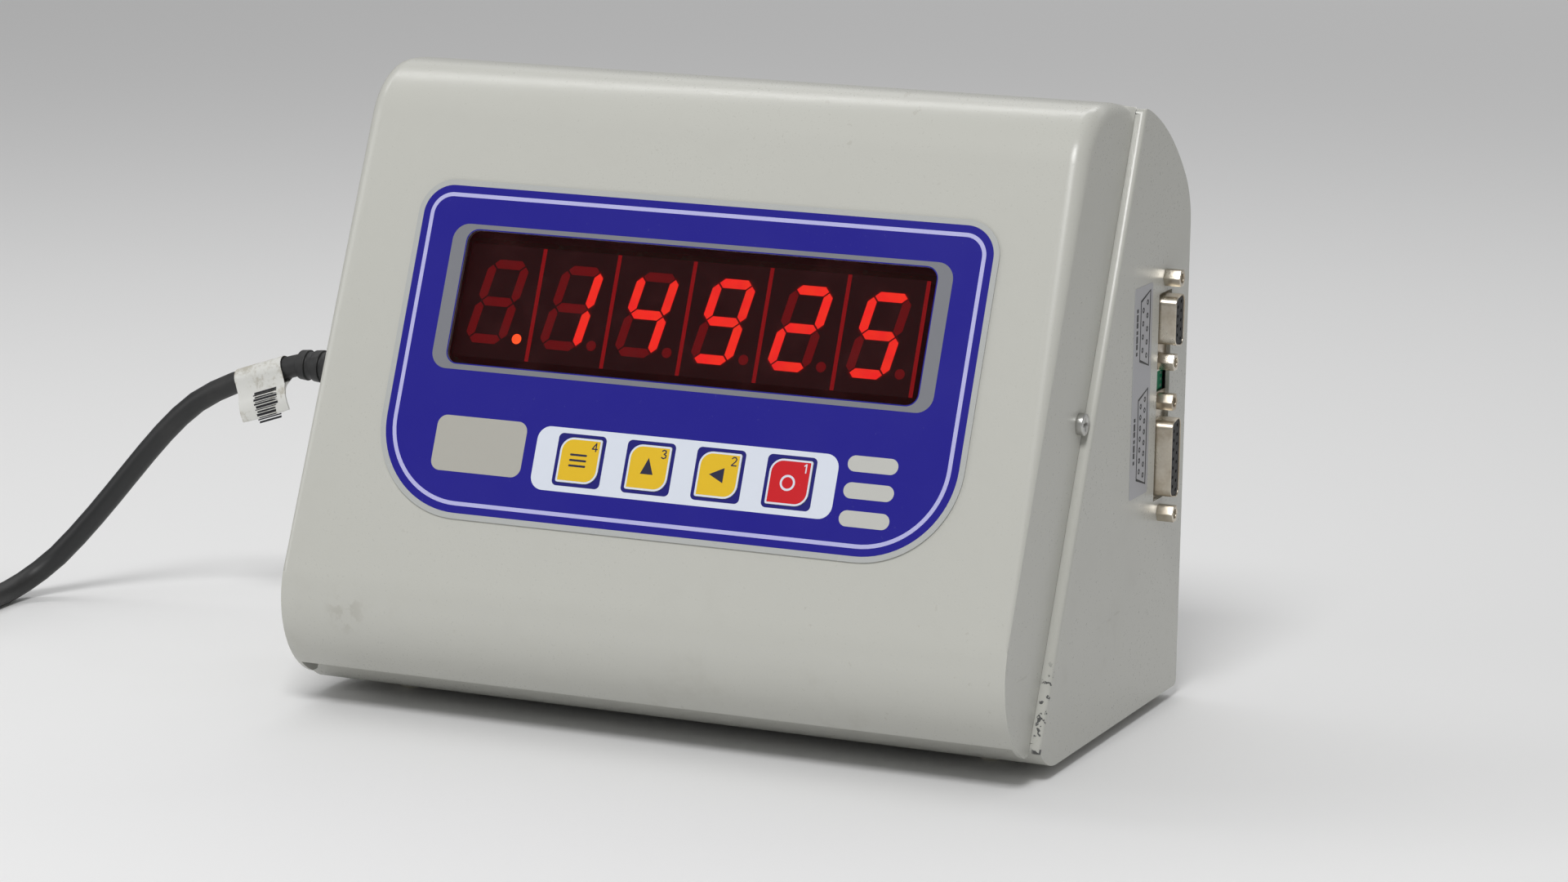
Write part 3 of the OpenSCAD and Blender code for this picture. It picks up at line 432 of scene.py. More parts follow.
@dataclass(frozen=True)
class Metal:
    """Plated or plain metal with fine scratches and faint tarnish."""

    name: str
    colour: Colour = (0.62, 0.6, 0.56)
    tarnish: Colour = (0.36, 0.3, 0.22)
    rough: float = 0.26
    scratch_scale: float = 2600.0

    def build(self) -> bpy.types.Material:
        """Builds the material.

        Returns:
            The material.
        """
        g = Graph(self.name)
        patch = g.noise(120.0, 4.0, 0.6).above(0.52, 0.3)
        scratch = g.noise(self.scratch_scale, 2.0, 0.5, g.stretched((1.0, 0.1, 1.0)))
        return g.surface(
            Base_Color=g.mix(patch * 0.5, opaque(self.colour), opaque(self.tarnish)),
            Metallic=1.0,
            Roughness=self.rough + patch * 0.12 + scratch * 0.08,
            Normal=g.bump(scratch, 0.00001, 0.3),
        )


@dataclass(frozen=True)
class Moulded:
    """Moulded plastic or rubber with a fine grain and dust."""

    name: str
    colour: Colour
    dust: Colour = (0.2, 0.19, 0.17)
    rough: float = 0.5
    grain: float = 900.0
    depth: float = 0.00003

    def build(self) -> bpy.types.Material:
        """Builds the material.

        Returns:
            The material.
        """
        g = Graph(self.name)
        fine = g.noise(self.grain, 3.0)
        wear = g.noise(55.0, 5.0, 0.65).above(0.55, 0.3)
        return g.surface(
            Base_Color=g.mix(wear * 0.18, opaque(self.colour), opaque(self.dust)),
            Roughness=self.rough + fine * 0.12 + wear * 0.08,
            Normal=g.bump(fine, self.depth, 0.5),
        )


@dataclass(frozen=True)
class Paper:
    """White coated paper with handling marks."""

    name: str = "label_paper"
    colour: Colour = (0.66, 0.66, 0.63)
    stain: Colour = (0.36, 0.33, 0.26)

    def build(self) -> bpy.types.Material:
        """Builds the material.

        Returns:
            The material.
        """
        g = Graph(self.name)
        marks = g.noise(160.0, 5.0, 0.7).above(0.56, 0.16)
        return g.surface(
            Base_Color=g.mix(marks * 0.7, opaque(self.colour), opaque(self.stain)),
            Roughness=0.45 + marks * 0.2,
            Normal=g.bump(g.noise(500.0), 0.00005, 0.4),
        )


@dataclass(frozen=True)
class Board:
    """Green circuit board with tracks and pads."""

    name: str = "solder_mask"
    colour: Colour = (0.003, 0.22, 0.1)
    track: Colour = (0.01, 0.34, 0.16)

    def build(self) -> bpy.types.Material:
        """Builds the material.

        Returns:
            The material.
        """
        g = Graph(self.name)
        settings = {"feature": "F1", "distance": "MANHATTAN"}
        cells = g.add("ShaderNodeTexVoronoi", settings, {"Vector": g.place(), "Scale": 300.0}, "Distance")
        tracks = cells.below(0.42, 0.05)
        return g.surface(
            Base_Color=g.mix(tracks, opaque(self.colour), opaque(self.track)),
            Roughness=0.3 + tracks * 0.08,
            Normal=g.bump(tracks, 0.00004, 0.5),
        )


@dataclass(frozen=True)
class Glass:
    """Clear glass of a fuse tube with its ends."""

    name: str = "fuse_glass"
    colour: Colour = (0.85, 0.88, 0.88)
    cover: float = 0.45

    def build(self) -> bpy.types.Material:
        """Builds the material.

        Returns:
            The material.
        """
        g = Graph(self.name)
        haze = g.noise(200.0)
        return g.surface(
            Base_Color=opaque(self.colour), Roughness=0.05 + haze * 0.06, Alpha=self.cover + haze * 0.05
        )


class Finishes:
    """Every finish of the object, built once."""

    def __init__(self) -> None:
        """Builds the materials."""
        self.paint = Paint().build()
        self.film = Print("clear_film", (0.42, 0.43, 0.42), 0.22, 0.03).build()
        self.blue = Print("label_blue", (0.009, 0.006, 0.235)).build()
        self.lavender = Print("label_lavender", (0.44, 0.44, 0.72)).build()
        self.surround = Print("label_grey", (0.19, 0.195, 0.215)).build()
        self.strip = Print("label_pale", (0.66, 0.7, 0.78)).build()
        self.navy = Print("key_frame_navy", (0.009, 0.008, 0.16)).build()
        self.logo = Print("label_blank", (0.4, 0.39, 0.35), 0.5).build()
        self.blank = Print("label_field", (0.5, 0.5, 0.47)).build()
        self.yellow = Print("key_yellow", (0.72, 0.46, 0.015), 0.34).build()
        self.red = Print("key_red", (0.56, 0.006, 0.012), 0.34).build()
        self.ink = Print("key_ink", (0.02, 0.02, 0.05), 0.4, 0.0).build()
        self.tint = Tint().build()
        self.lit = Glow("segment_lit", (1.0, 0.008, 0.02), (1.0, 0.05, 0.012), 2.2).build()
        self.point = Glow("point_lit", (1.0, 0.04, 0.01), (1.0, 0.13, 0.03), 3.4).build()
        # Painted glow: the unlit bars emit a faint red light though nothing lights them.
        self.unlit = Glow("segment_unlit_painted_glow", (0.42, 0.004, 0.008), (0.36, 0.004, 0.006), 0.45).build()
        self.halo = Halo().build()
        self.module_face = Moulded("module_face", (0.035, 0.0006, 0.001), (0.06, 0.002, 0.002), 0.5).build()
        # Painted glow: the modules' edges emit a faint red light though they are no lamp.
        self.module_wall_painted_glow = Glow("module_wall_painted_glow", (0.6, 0.006, 0.01), (0.5, 0.005, 0.008), 0.7).build()
        self.nickel = Metal("nickel_shell", (0.66, 0.61, 0.52), (0.34, 0.25, 0.15), 0.24).build()
        self.steel = Metal("bright_steel", (0.6, 0.6, 0.58), (0.35, 0.33, 0.3), 0.3).build()
        self.brass = Metal("plug_brass", (0.62, 0.5, 0.28), (0.4, 0.3, 0.15), 0.28).build()
        self.black = Moulded("black_plastic", (0.014, 0.014, 0.015)).build()
        self.black_metal = Metal("black_anodised", (0.03, 0.03, 0.03), (0.05, 0.05, 0.05), 0.4).build()
        dusty = (0.08, 0.075, 0.07)
        self.rubber = Moulded("cord_rubber", (0.016, 0.0165, 0.017), dusty, 0.42, 1500.0).build()
        self.foot = Moulded("foot_rubber", (0.62, 0.6, 0.52), (0.35, 0.33, 0.27), 0.45).build()
        self.ivory = Moulded("plunger_ivory", (0.6, 0.57, 0.46)).build()
        self.board = Board().build()
        self.paper = Paper().build()
        self.sticker = Print("sticker_silver", (0.42, 0.42, 0.44), 0.36, 0.1).build()
        self.sticker_ink = Print("sticker_ink", (0.015, 0.015, 0.018), 0.4, 0.0).build()
        self.tape = Moulded("winding_tape", (0.55, 0.36, 0.06), (0.4, 0.3, 0.1), 0.35).build()
        self.core = Metal("core_iron", (0.1, 0.1, 0.11), (0.06, 0.05, 0.05), 0.5).build()
        self.ribbon = Moulded("ribbon_vinyl", (0.26, 0.27, 0.3)).build()
        self.glass = Glass().build()
        self.navy_sleeve = Moulded("capacitor_sleeve", (0.01, 0.02, 0.12), (0.1, 0.1, 0.15), 0.3).build()


class Shape:
    """A bmesh on its way to becoming one dressed piece."""

    def __init__(self) -> None:
        """Starts an empty shape."""
        self.bm = bmesh.new()

    def block(self, low: Place, high: Place) -> list[bmesh.types.BMVert]:
        """Adds a box between two corners.

        Args:
            low: Lowest corner.
            high: Highest corner.

        Returns:
            The box's vertices.
        """
        size = Vector(high) - Vector(low)
        middle = (Vector(high) + Vector(low)) / 2
        matrix = Matrix.Translation(middle) @ Matrix.Diagonal((*size, 1.0))
        return bmesh.ops.create_cube(self.bm, size=1.0, matrix=matrix)["verts"]

    def soften(self, edges: list[bmesh.types.BMEdge], radius: float, segments: int = 3) -> None:
        """Rounds edges.

        Args:
            edges: The edges to round.
            radius: The round's size.
            segments: Steps in the round.
        """
        bmesh.ops.bevel(
            self.bm, geom=edges, offset=radius, offset_type="OFFSET", affect="EDGES",
            segments=segments, profile=0.5, material=-1, clamp_overlap=True,
        )

    def sharp_edges(self, angle: float = 0.6) -> list[bmesh.types.BMEdge]:
        """Finds the edges whose faces meet at more than an angle."""
        return [e for e in self.bm.edges if len(e.link_faces) == 2 and e.calc_face_angle() > angle]

    def move(self, matrix: Matrix) -> None:
        """Moves the whole shape."""
        bmesh.ops.transform(self.bm, matrix=matrix, verts=self.bm.verts)

    def done(
        self, name: str, body: Body, slot: str, material: bpy.types.Material, replaces: tuple[str, ...] = ()
    ) -> bpy.types.Object:
        """Makes the shape a piece that rides on a body.

        Args:
            name: The piece's name.
            body: The body it rides on.
            slot: Not used.
            material: Its finish.
            replaces: The CAD nodes that it stands for.

        Returns:
            The new object.
        """
        for face in self.bm.faces:
            face.smooth = True
        mesh = bpy.data.meshes.new(name)
        self.bm.to_mesh(mesh)
        self.bm.free()
        mesh.materials.append(material)
        mesh.set_sharp_from_angle(angle=SMOOTH_BELOW)
        piece = bpy.data.objects.new(name, mesh)
        bpy.context.scene.collection.objects.link(piece)
        return attach(piece, body, replaces)


def attach(
    piece: bpy.types.Object, body: Body, replaces: tuple[str, ...] = ()
) -> bpy.types.Object:
    """Rides a piece, hides the CAD nodes that it stands for and logs it.

    Args:
        piece: The finished object.
        body: The body it rides on.
        replaces: The CAD nodes that it stands for.

    Returns:
        The same object.
    """
    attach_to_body(piece, body.value)
    if replaces:
        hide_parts(*replaces)
    log.info("piece %s on %s", piece.name, body.value)
    return piece


def arc(middle: Point, radius: float, start: float, end: float, steps: int) -> Outline:
    """Makes points on an arc, with angles in degrees."""
    turns = [math.radians(start + (end - start) * i / steps) for i in range(steps + 1)]
    return [(middle[0] + radius * math.cos(t), middle[1] + radius * math.sin(t)) for t in turns]


def circle(middle: Point, radius: float, count: int) -> Outline:
    """Makes a closed circle's outline."""
    return arc(middle, radius, 0.0, 360.0 * (count - 1) / count, count - 1)


def round_box(
    width: float, height: float, radii: Radii, middle: Point = (0.0, 0.0), steps: int = 8
) -> Outline:
    """Makes a rectangle's outline with four corner radii.

    Args:
        width: Its width.
        height: Its height.
        radii: Radii at lower left, lower right, upper right and upper left.
        middle: Its centre.
        steps: Steps in each corner.

    Returns:
        The outline's points, anticlockwise.
    """
    points: Outline = []
    for index, radius in enumerate(radii):
        side_x = 1 if index in (1, 2) else -1
        side_y = 1 if index in (2, 3) else -1
        corner = (middle[0] + side_x * (width / 2 - radius), middle[1] + side_y * (height / 2 - radius))
        start = 180 + 90 * index
        points += arc(corner, radius, start, start + 90, steps) if radius > 0 else [corner]
    return points


@dataclass
class Case:
    """Sizes of the folded case in millimetres, as the frame has them."""

    width: float = 232.0
    height: float = 182.0
    depth: float = 139.0
    sheet: float = 1.2
    tilt: float = 22.0
    roll: float = 23.0
    crown: float = 77.0
    curl: float = 27.0
    curl_rise: float = 3.5
    side_step: float = 3.0
    bend: float = 4.8
    seam_tilt: float = 23.6
    seam_set: float = 17.5
    foot: float = 3.3
    shift: float = field(init=False)
    curl_mid: Vector = field(init=False)
    roll_mid: Vector = field(init=False)
    crown_mid: Vector = field(init=False)
    out: Vector = field(init=False)
    up: Vector = field(init=False)

    def __post_init__(self) -> None:
        """Works out the profile's centres, with depth and height as coordinates."""
        tilt = math.radians(self.tilt)
        self.out = Vector((-math.cos(tilt), math.sin(tilt)))
        self.up = Vector((math.sin(tilt), math.cos(tilt)))
        self.curl_mid = Vector((-self.depth / 2 + self.curl, self.curl + self.curl_rise))
        reach = self.out.dot(self.curl_mid) + self.curl
        top = self.height - self.roll
        self.roll_mid = Vector(((math.sin(tilt) * top - reach + self.roll) / math.cos(tilt), top))
        self.crown_mid = Vector((self.roll_mid.x, self.height - self.crown))
        low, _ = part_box("rear_shell")
        self.shift = low.x / MM + self.width / 2

    @property
    def cheek(self) -> float:
        """Half the width over the cheeks."""
        return self.width / 2 - self.side_step

    def seam(self, height: float) -> float:
        """Works out how far back the seam between cover and shell is."""
        return -self.depth / 2 + self.seam_set + height * math.tan(math.radians(self.seam_tilt))

    def at_label(self, shift: float, drop: float, height: float) -> Matrix:
        """Works out the label's frame: its middle on the sheet, with Z out of the face.

        Args:
            shift: Shift of the label to the right.
            drop: Distance from the roll to the label's top edge.
            height: The label's height.

        Returns:
            The frame in metres.
        """
        middle = self.roll_mid + self.roll * self.out - (drop + height / 2) * self.up
        place = Vector((self.shift + shift, middle.x, middle.y + self.foot)) * MM
        return Matrix.Translation(place) @ Matrix.Rotation(math.radians(90 - self.tilt), 4, "X")


def ring_plate(shape: Shape, outlines: list[Outline], low: float, high: float) -> None:
    """Adds a plate with holes to a shape.

    Args:
        shape: The shape to add to.
        outlines: The outer outline first, then the holes, in millimetres.
        low: Lower face's height in millimetres.
        high: Upper face's height in millimetres.
    """
    bm = shape.bm
    edges = []
    for outline in outlines:
        ring = [bm.verts.new((x * MM, y * MM, low * MM)) for x, y in outline]
        edges += [bm.edges.new(pair) for pair in zip(ring, ring[1:] + ring[:1])]
    filled = bmesh.ops.triangle_fill(bm, use_beauty=True, edges=edges)["geom"]
    faces = [f for f in filled if isinstance(f, bmesh.types.BMFace)]
    lifted = bmesh.ops.extrude_face_region(bm, geom=faces, use_keep_orig=True)["geom"]
    top = [v for v in lifted if isinstance(v, bmesh.types.BMVert)]
    bmesh.ops.translate(bm, verts=top, vec=(0.0, 0.0, (high - low) * MM))
    bmesh.ops.recalc_face_normals(bm, faces=bm.faces)


@dataclass
class PhotoCamera:
    """The camera that took the photograph, in millimetres and degrees."""

    place: Place = (553.33, -1253.5, 348.8)
    yaw: float = 23.22
    pitch: float = 11.12
    roll: float = 0.93
    lens: float = 108.98
    film: float = 36.0
    reach: Point = (0.05, 20.0)

    def build(self) -> None:
        """Makes the scene's camera."""
        yaw, pitch, roll = (math.radians(a) for a in (self.yaw, self.pitch, self.roll))
        ahead = Vector((-math.sin(yaw) * math.cos(pitch), math.cos(yaw) * math.cos(pitch), -math.sin(pitch)))
        right = Vector((math.cos(yaw), math.sin(yaw), 0.0))
        above = right.cross(ahead)
        side = math.cos(roll) * right + math.sin(roll) * above
        up = -math.sin(roll) * right + math.cos(roll) * above
        turn = Matrix((side, up, -ahead)).transposed().to_4x4()
        data = bpy.data.cameras.new("camera")
        data.lens, data.sensor_width, data.sensor_fit = self.lens, self.film, "HORIZONTAL"
        data.clip_start, data.clip_end = self.reach
        camera = bpy.data.objects.new("camera", data)
        camera.matrix_world = Matrix.Translation(Vector(self.place) * MM) @ turn
        bpy.context.scene.collection.objects.link(camera)
        bpy.context.scene.camera = camera


@dataclass
class MainsLead:
    """The cord from the inlet to the plug, coiled and tied, with its flag label."""

    finishes: Finishes
    case: Case
    diameter: float = 7.0
    tip: Place = (-164.3, 35.5, 82.3)
    points: tuple[Place, ...] = (
        (-172, 35.5, 80), (-188, 35.5, 74.5), (-202, 35, 67), (-214, 34.5, 56), (-226, 33.5, 42),
        (-238, 32, 27.5), (-250, 28, 13.5), (-258, 20, 5.5), (-259, 6, 3.5), (-258, -8, 4),
    )
    coil_mid: Point = (-307.0, -25.0)
    coil_in: float = 26.0
    coil_pitch: float = 7.5
    turns: float = 6.25
    low: float = 4.4
    tail: float = 24.0
    turn_steps: int = 28
    flag_start: float = 2.6
    flag_length: float = 17.5
    flag_height: float = 14.0
    flag_turn: float = 247.0
    flag_clear: float = 0.3
    flag_thick: float = 0.14
    flag_open: float = 58.0
    flag_rows: int = 10
    flag_steps: int = 24
    flag_curl: float = 2.7
    flag_bow: float = 2.0
    flag_tail: tuple[Point, ...] = ((1.0, 0.14), (0.85, 0.14), (0.7, 0.14), (0.55, 0.18), (0.42, 0.6))
    bar_count: int = 15
    bar_first: float = 0.34
    bar_ends: Point = (3.2, 11.5)
    bar_width: Point = (0.018, 0.016)
    bar_space: Point = (0.016, 0.008)
    bar_clear: Point = (0.24, 0.42)
    bar_steps: int = 4

    def coil_point(self, turn: float) -> Vector:
        """Works out a point on the coil's centre line.

        Args:
            turn: Turns from the coil's start.

        Returns:
            The point in millimetres.
        """
        half = self.turns / 2
        radius = self.coil_in + self.coil_pitch * abs(turn - half)
        level = self.low + self.coil_pitch * min(max(2 * (turn - half) + 0.5, 0), 1)
        angle = 2 * math.pi * turn
        middle_x, middle_y = self.coil_mid
        return Vector((middle_x + radius * math.cos(angle), middle_y - radius * math.sin(angle), level))

    def route(self) -> list[Vector]:
        """Works out the whole route, from the strain relief to the plug.

        Returns:
            Points in metres.
        """
        out = self.coil_in + self.coil_pitch * self.turns / 2
        start = Vector((self.coil_mid[0] + out, self.coil_mid[1] + self.diameter, self.low))
        knots = [Vector(self.tip), *(Vector(p) for p in self.points), start]
        fine: list[Vector] = []
        for i in range(len(knots) - 1):
            before, after = knots[max(i - 1, 0)], knots[min(i + 2, len(knots) - 1)]
            for step in range(2):
                t = step / 2
                a, b = knots[i], knots[i + 1]
                square = (2 * before - 5 * a + 4 * b - after) * t * t
                cube = (3 * a - before - 3 * b + after) * t ** 3
                fine.append(0.5 * (2 * a + (b - before) * t + square + cube))
        steps = round(self.turns * self.turn_steps)
        loops = [self.coil_point(self.turns * i / steps) for i in range(steps + 1)]
        end = loops[-1] - Vector((self.diameter, 0.0, 0.0))
        path = [*fine, start, *loops, end, end - Vector((self.tail, 0.0, 0.0))]
        shift = Vector((self.case.shift, 0.0, 0.0))
        return [(p + shift) * MM for p in path]

    def build(self) -> None:
        """Makes the cord first, then what sits on it."""
        path = self.route()
        data = bpy.data.curves.new("cord", "CURVE")
        data.dimensions = "3D"
        spline = data.splines.new("POLY")
        spline.points.add(len(path) - 1)
        for point, place in zip(spline.points, path):
            point.co = (*place, 1.0)
        data.bevel_depth = self.diameter / 2 * MM
        data.bevel_resolution = 5
        data.use_fill_caps = True
        spline.use_smooth = True
        data.materials.append(self.finishes.rubber)
        cord = bpy.data.objects.new("cord", data)
        bpy.context.scene.collection.objects.link(cord)
        attach(cord, Body.CASE, ("mains_cord", "cord_coil"))
        flag = self.flag()
        length = sum((b - a).length for a, b in zip(path, path[1:]))
        log.info("cord length %.4f m", length)
        self.diameter * MM

    def flag(self) -> list[bpy.types.Object]:
        """Makes the paper flag folded round the cord.

        Returns:
            The paper and its print.
        """
        shape, print_shape = Shape(), Shape()
        wrap = self.diameter / 2 + self.flag_clear
        turn = math.radians(self.flag_turn)
        hang = Vector((math.cos(turn), math.sin(turn)))
        side = Vector((-hang.y, hang.x))
        line = [self.flag_spot(share, gap, hang, side) for share, gap in self.flag_tail]
        closed = 360.0 - 2 * self.flag_open
        for i in range(self.flag_steps + 1):
            angle = turn + math.radians(self.flag_open + closed * i / self.flag_steps)
            line.append(Vector((math.cos(angle), math.sin(angle))) * wrap)
        line += [self.flag_spot(share, -gap, hang, side) for share, gap in reversed(self.flag_tail)]
        rows = []
        for j in range(self.flag_rows + 1):
            along = self.flag_start - self.flag_length * j / self.flag_rows
            lift = self.flag_curl * (j / self.flag_rows - 0.5) ** 2
            outer, inner = [], []
            for i, p in enumerate(line):
                ahead = line[min(i + 1, len(line) - 1)] - line[max(i - 1, 0)]
                normal = Vector((ahead.y, -ahead.x)).normalized()
                share = min(max(p.dot(hang) / self.flag_height - 0.2, 0.0), 1.0)
                spot = p - side * lift * share
                outer.append(shape.bm.verts.new((along, *(spot + normal * self.flag_thick))))
                inner.append(shape.bm.verts.new((along, *spot)))
            rows.append(outer + inner[::-1])
        for a, b in zip(rows, rows[1:]):
            for i in range(len(a)):
                k = (i + 1) % len(a)
                shape.bm.faces.new((a[i], a[k], b[k], b[i]))
        shape.bm.faces.new(rows[0][::-1])
        shape.bm.faces.new(rows[-1])
        bmesh.ops.recalc_face_normals(shape.bm, faces=shape.bm.faces)
        self.flag_bars(print_shape, hang, side)
        first, second = Vector(self.points[0]), Vector(self.points[1])
        slope = math.atan2((first - second).z, (first - second).x)
        place = (first + Vector((self.case.shift, 0.0, 0.0))) * MM
        matrix = Matrix.Translation(place) @ Matrix.Rotation(-slope, 4, "Y") @ Matrix.Scale(MM, 4)
        shape.move(matrix)
        print_shape.move(matrix)
        paper = shape.done("flag_paper", Body.CASE, "paper_white", self.finishes.paper, ("flag_label",))
        return [paper, print_shape.done("flag_print", Body.CASE, "paper_white", self.finishes.sticker_ink)]

    def flag_spot(self, share: float, gap: float, hang: Vector, side: Vector) -> Vector:
        """Works out a point on the flag's sheet."""
        bow = -self.flag_bow * math.sin(math.pi * min(max(share - 0.25, 0.0), 0.75) / 0.75)
        return hang * self.flag_height * share + side * (bow + gap)

    def flag_bars(self, shape: Shape, hang: Vector, side: Vector) -> None:
        """Adds plain printed bars to the flag's face.

        Args:
            shape: The shape to add to.
            hang: Direction in which the flag hangs.
            side: Direction across the sheet.
        """
        share = self.bar_first
        for number in range(self.bar_count):
            wide = self.bar_width[0] + self.bar_width[1] * (number * 7 % 3)
            start = self.flag_start - self.bar_ends[0]
            end = self.flag_start - self.bar_ends[1] - 0.5 * (number * 5 % 2)
            corners = []
            for edge in (share, share + wide):
                gap = -self.flag_thick - self.bar_clear[0] - (self.bar_clear[1] if edge < 0.5 else 0.0)
                corners.append(self.flag_spot(edge, gap, hang, side))
            for k in range(self.bar_steps):
                a = start + (end - start) * k / self.bar_steps
                b = start + (end - start) * (k + 1) / self.bar_steps
                sides = ((a, corners[0]), (b, corners[0]), (b, corners[1]), (a, corners[1]))
                shape.bm.faces.new([shape.bm.verts.new((along, *place)) for along, place in sides])
            share += wide + self.bar_space[0] + self.bar_space[1] * (number % 2)


@dataclass
class FaceLabel:
    """The printed label on the sloping face, with its four film keys."""

    finishes: Finishes
    case: Case
    width: float = 178.8
    height: float = 96.7
    top_round: float = 9.0
    low_round: float = 27.0
    shift: float = 1.3
    drop: float = 20.0
    window: Point = (147.4, 39.8)
    window_round: float = 3.5
    window_up: float = 15.5
    window_gap: float = 0.35
    surround: Point = (157.0, 43.4)
    surround_round: float = 5.0
    surround_up: float = 15.4
    stripe: Point = (2.2, 3.4)
    strip: Point = (93.8, 18.7)
    strip_round: float = 4.0
    strip_place: Point = (6.8, -29.6)
    key_pitch: float = 21.8
    key_size: Point = (12.8, 13.2)
    key_place: Point = (6.9, -29.5)
    key_round: float = 4.0
    key_small: float = 0.6
    key_gap: float = 0.15
    key_rim: float = 0.55
    key_frame: Point = (15.1, 15.4)
    key_frame_round: float = 1.5
    blank: Point = (28.9, 16.4)
    blank_round: float = 3.0
    blank_place: Point = (-58.2, -28.1)
    lozenge: Point = (15.2, 4.6)
    lozenge_round: float = 2.29
    lozenge_shift: float = 63.8
    lozenge_rises: tuple[float, ...] = (-22.2, -29.9, -37.9)
    front: float = 0.5
    clear: float = 0.004
    layer: float = 0.02
    edge_levels: Point = (0.4, 0.78)
    cap_levels: Point = (0.70, 0.80)
    ink_levels: Point = (0.795, 0.812)
    sign_stroke: float = 0.62
    number_place: Point = (4.3, 4.3)
    number_height: float = 2.4
    number_stroke: float = 0.36

    @property
    def frame(self) -> Matrix:
        """The label's frame in metres."""
        return self.case.at_label(self.shift, self.drop, self.height)

    def outline(self, inset: float) -> Outline:
        """Makes the label's outline."""
        low, top = self.low_round - inset, self.top_round - inset
        return round_box(self.width - 2 * inset, self.height - 2 * inset, (low, low, top, top), steps=20)

    def opening(self, grow: float = 0.0) -> Outline:
        """Makes the display window's outline."""
        size = (side + 2 * grow for side in self.window)
        return round_box(*size, (self.window_round + grow,) * 4, (0.0, self.window_up))

    def key_middle(self, index: int) -> Point:
        """Works out a key's middle."""
        return (self.key_place[0] + (index - 1.5) * self.key_pitch, self.key_place[1])

    def pad(self, index: int, grow: float) -> Outline:
        """Makes a key pad's outline.

        Args:
            index: The key's number from 0.
            grow: How far it is moved outwards.

        Returns:
            The outline.
        """
        large, small = self.key_round + grow, max(self.key_small + grow, 0.15)
        size = (side + 2 * grow for side in self.key_size)
        return round_box(*size, (small, large, small, large), self.key_middle(index))

    def printed(self, name: str, outlines: list[Outline], level: int, material: bpy.types.Material) -> None:
        """Makes one printed layer.

        Args:
            name: The piece's name.
            outlines: The outer outline first, then the holes.
            level: Its number of layers.
            material: Its finish.
        """
        shape = Shape()
        base = self.front + self.clear
        ring_plate(shape, outlines, base, base + self.layer * level)
        shape.move(self.frame)
        shape.done(name, Body.CASE, "label_film", material)

    def build(self) -> None:
        """Makes the prints and the keys."""
        pads = [self.pad(i, self.key_gap) for i in range(4)]
        f = self.finishes
        self.printed("label_panel", [self.outline(0.0), self.opening(), *pads], 1, f.blue)
        self.printed("label_stripe", [self.outline(inset) for inset in self.stripe], 2, f.lavender)
        rim = round_box(*self.surround, (self.surround_round,) * 4, (0.0, self.surround_up))
        self.printed("display_surround", [rim, self.opening(self.window_gap)], 2, f.surround)
        strip = round_box(*self.strip, (self.strip_round,) * 4, self.strip_place)
        self.printed("key_strip", [strip, *pads], 2, f.strip)
        for i in range(4):
            frame = round_box(*self.key_frame, (self.key_frame_round,) * 4, self.key_middle(i))
            self.printed(f"key_frame_{i + 1}", [frame, pads[i]], 3, f.navy)
        blank = round_box(*self.blank, (self.blank_round,) * 4, self.blank_place)
        self.printed("blank_panel", [blank], 2, f.logo)
        for number, rise in enumerate(self.lozenge_rises):
            lozenge = round_box(*self.lozenge, (self.lozenge_round,) * 4, (self.lozenge_shift, rise))
            self.printed(f"blank_field_{number + 1}", [lozenge], 2, f.blank)
        for i in range(4):
            self.key(i)

    def key(self, index: int) -> None:
        """Makes one raised key with its number and sign.

        Args:
            index: The key's number from 0, from the left.
        """
        body = (Body.KEY_1, Body.KEY_2, Body.KEY_3, Body.KEY_4)[index]
        last = index == 3
        f = self.finishes
        slot = "key_red" if last else "key_yellow"
        base, cap, ink = Shape(), Shape(), Shape()
        ring_plate(base, [self.pad(index, 0.0)], *self.edge_levels)
        ring_plate(cap, [self.pad(index, -self.key_rim)], *self.cap_levels)
        place = Vector(self.key_middle(index)) + Vector(self.number_place)
        digit(ink, str(4 - index), place, self.number_height, self.number_stroke, *self.ink_levels)
        for outlines in self.sign(index):
            ring_plate(ink, outlines, *self.ink_levels)
        for shape in (base, cap, ink):
            shape.move(self.frame)
        base.done(f"key_edge_{index + 1}", body, slot, f.strip, (f"key_pad_{index + 1}",))
        cap.done(f"key_cap_{index + 1}", body, slot, f.red if last else f.yellow)
        ink.done(f"key_print_{index + 1}", body, slot, f.strip if last else f.ink)

    def sign(self, index: int) -> list[list[Outline]]:
        """Makes a key's sign: three bars, an arrow up, an arrow left or a ring.

        Args:
            index: The key's number from 0, from the left.

        Returns:
            The outlines of each part of the sign, the outer one first.
        """
        x, y = self.key_middle(index)
        if index == 0:
            rises = (-1.6, 0.0, 1.6)
            return [[round_box(5.4, self.sign_stroke, (0.3,) * 4, (x - 0.4, y + r), 4)] for r in rises]
        if index == 1:
            return [[[(x - 0.2 + a, y + b) for a, b in ((-2.0, -1.9), (2.0, -1.9), (0.0, 2.9))]]]
        if index == 2:
            return [[[(x - 0.2 + a, y + b) for a, b in ((1.9, -2.2), (1.9, 2.2), (-2.6, 0.0))]]]
        return [[circle((x - 0.4, y - 0.2), radius, 40) for radius in (2.3, 2.3 - self.sign_stroke)]]


NUMERALS: dict[str, tuple[tuple[Point, ...], ...]] = {
    "1": (((0.3, 0.8), (0.55, 1.0), (0.55, 0.0)),),
    "2": (((0.1, 0.82), (0.3, 1.0), (0.6, 0.97), (0.72, 0.75), (0.6, 0.5), (0.1, 0.0), (0.75, 0.0)),),
    "3": ((
        (0.12, 0.88), (0.35, 1.0), (0.62, 0.93), (0.66, 0.7), (0.4, 0.53),
        (0.7, 0.38), (0.68, 0.12), (0.38, 0.0), (0.1, 0.12),
    ),),
    "4": (((0.6, 0.0), (0.6, 1.0), (0.08, 0.28), (0.8, 0.28)),),
}


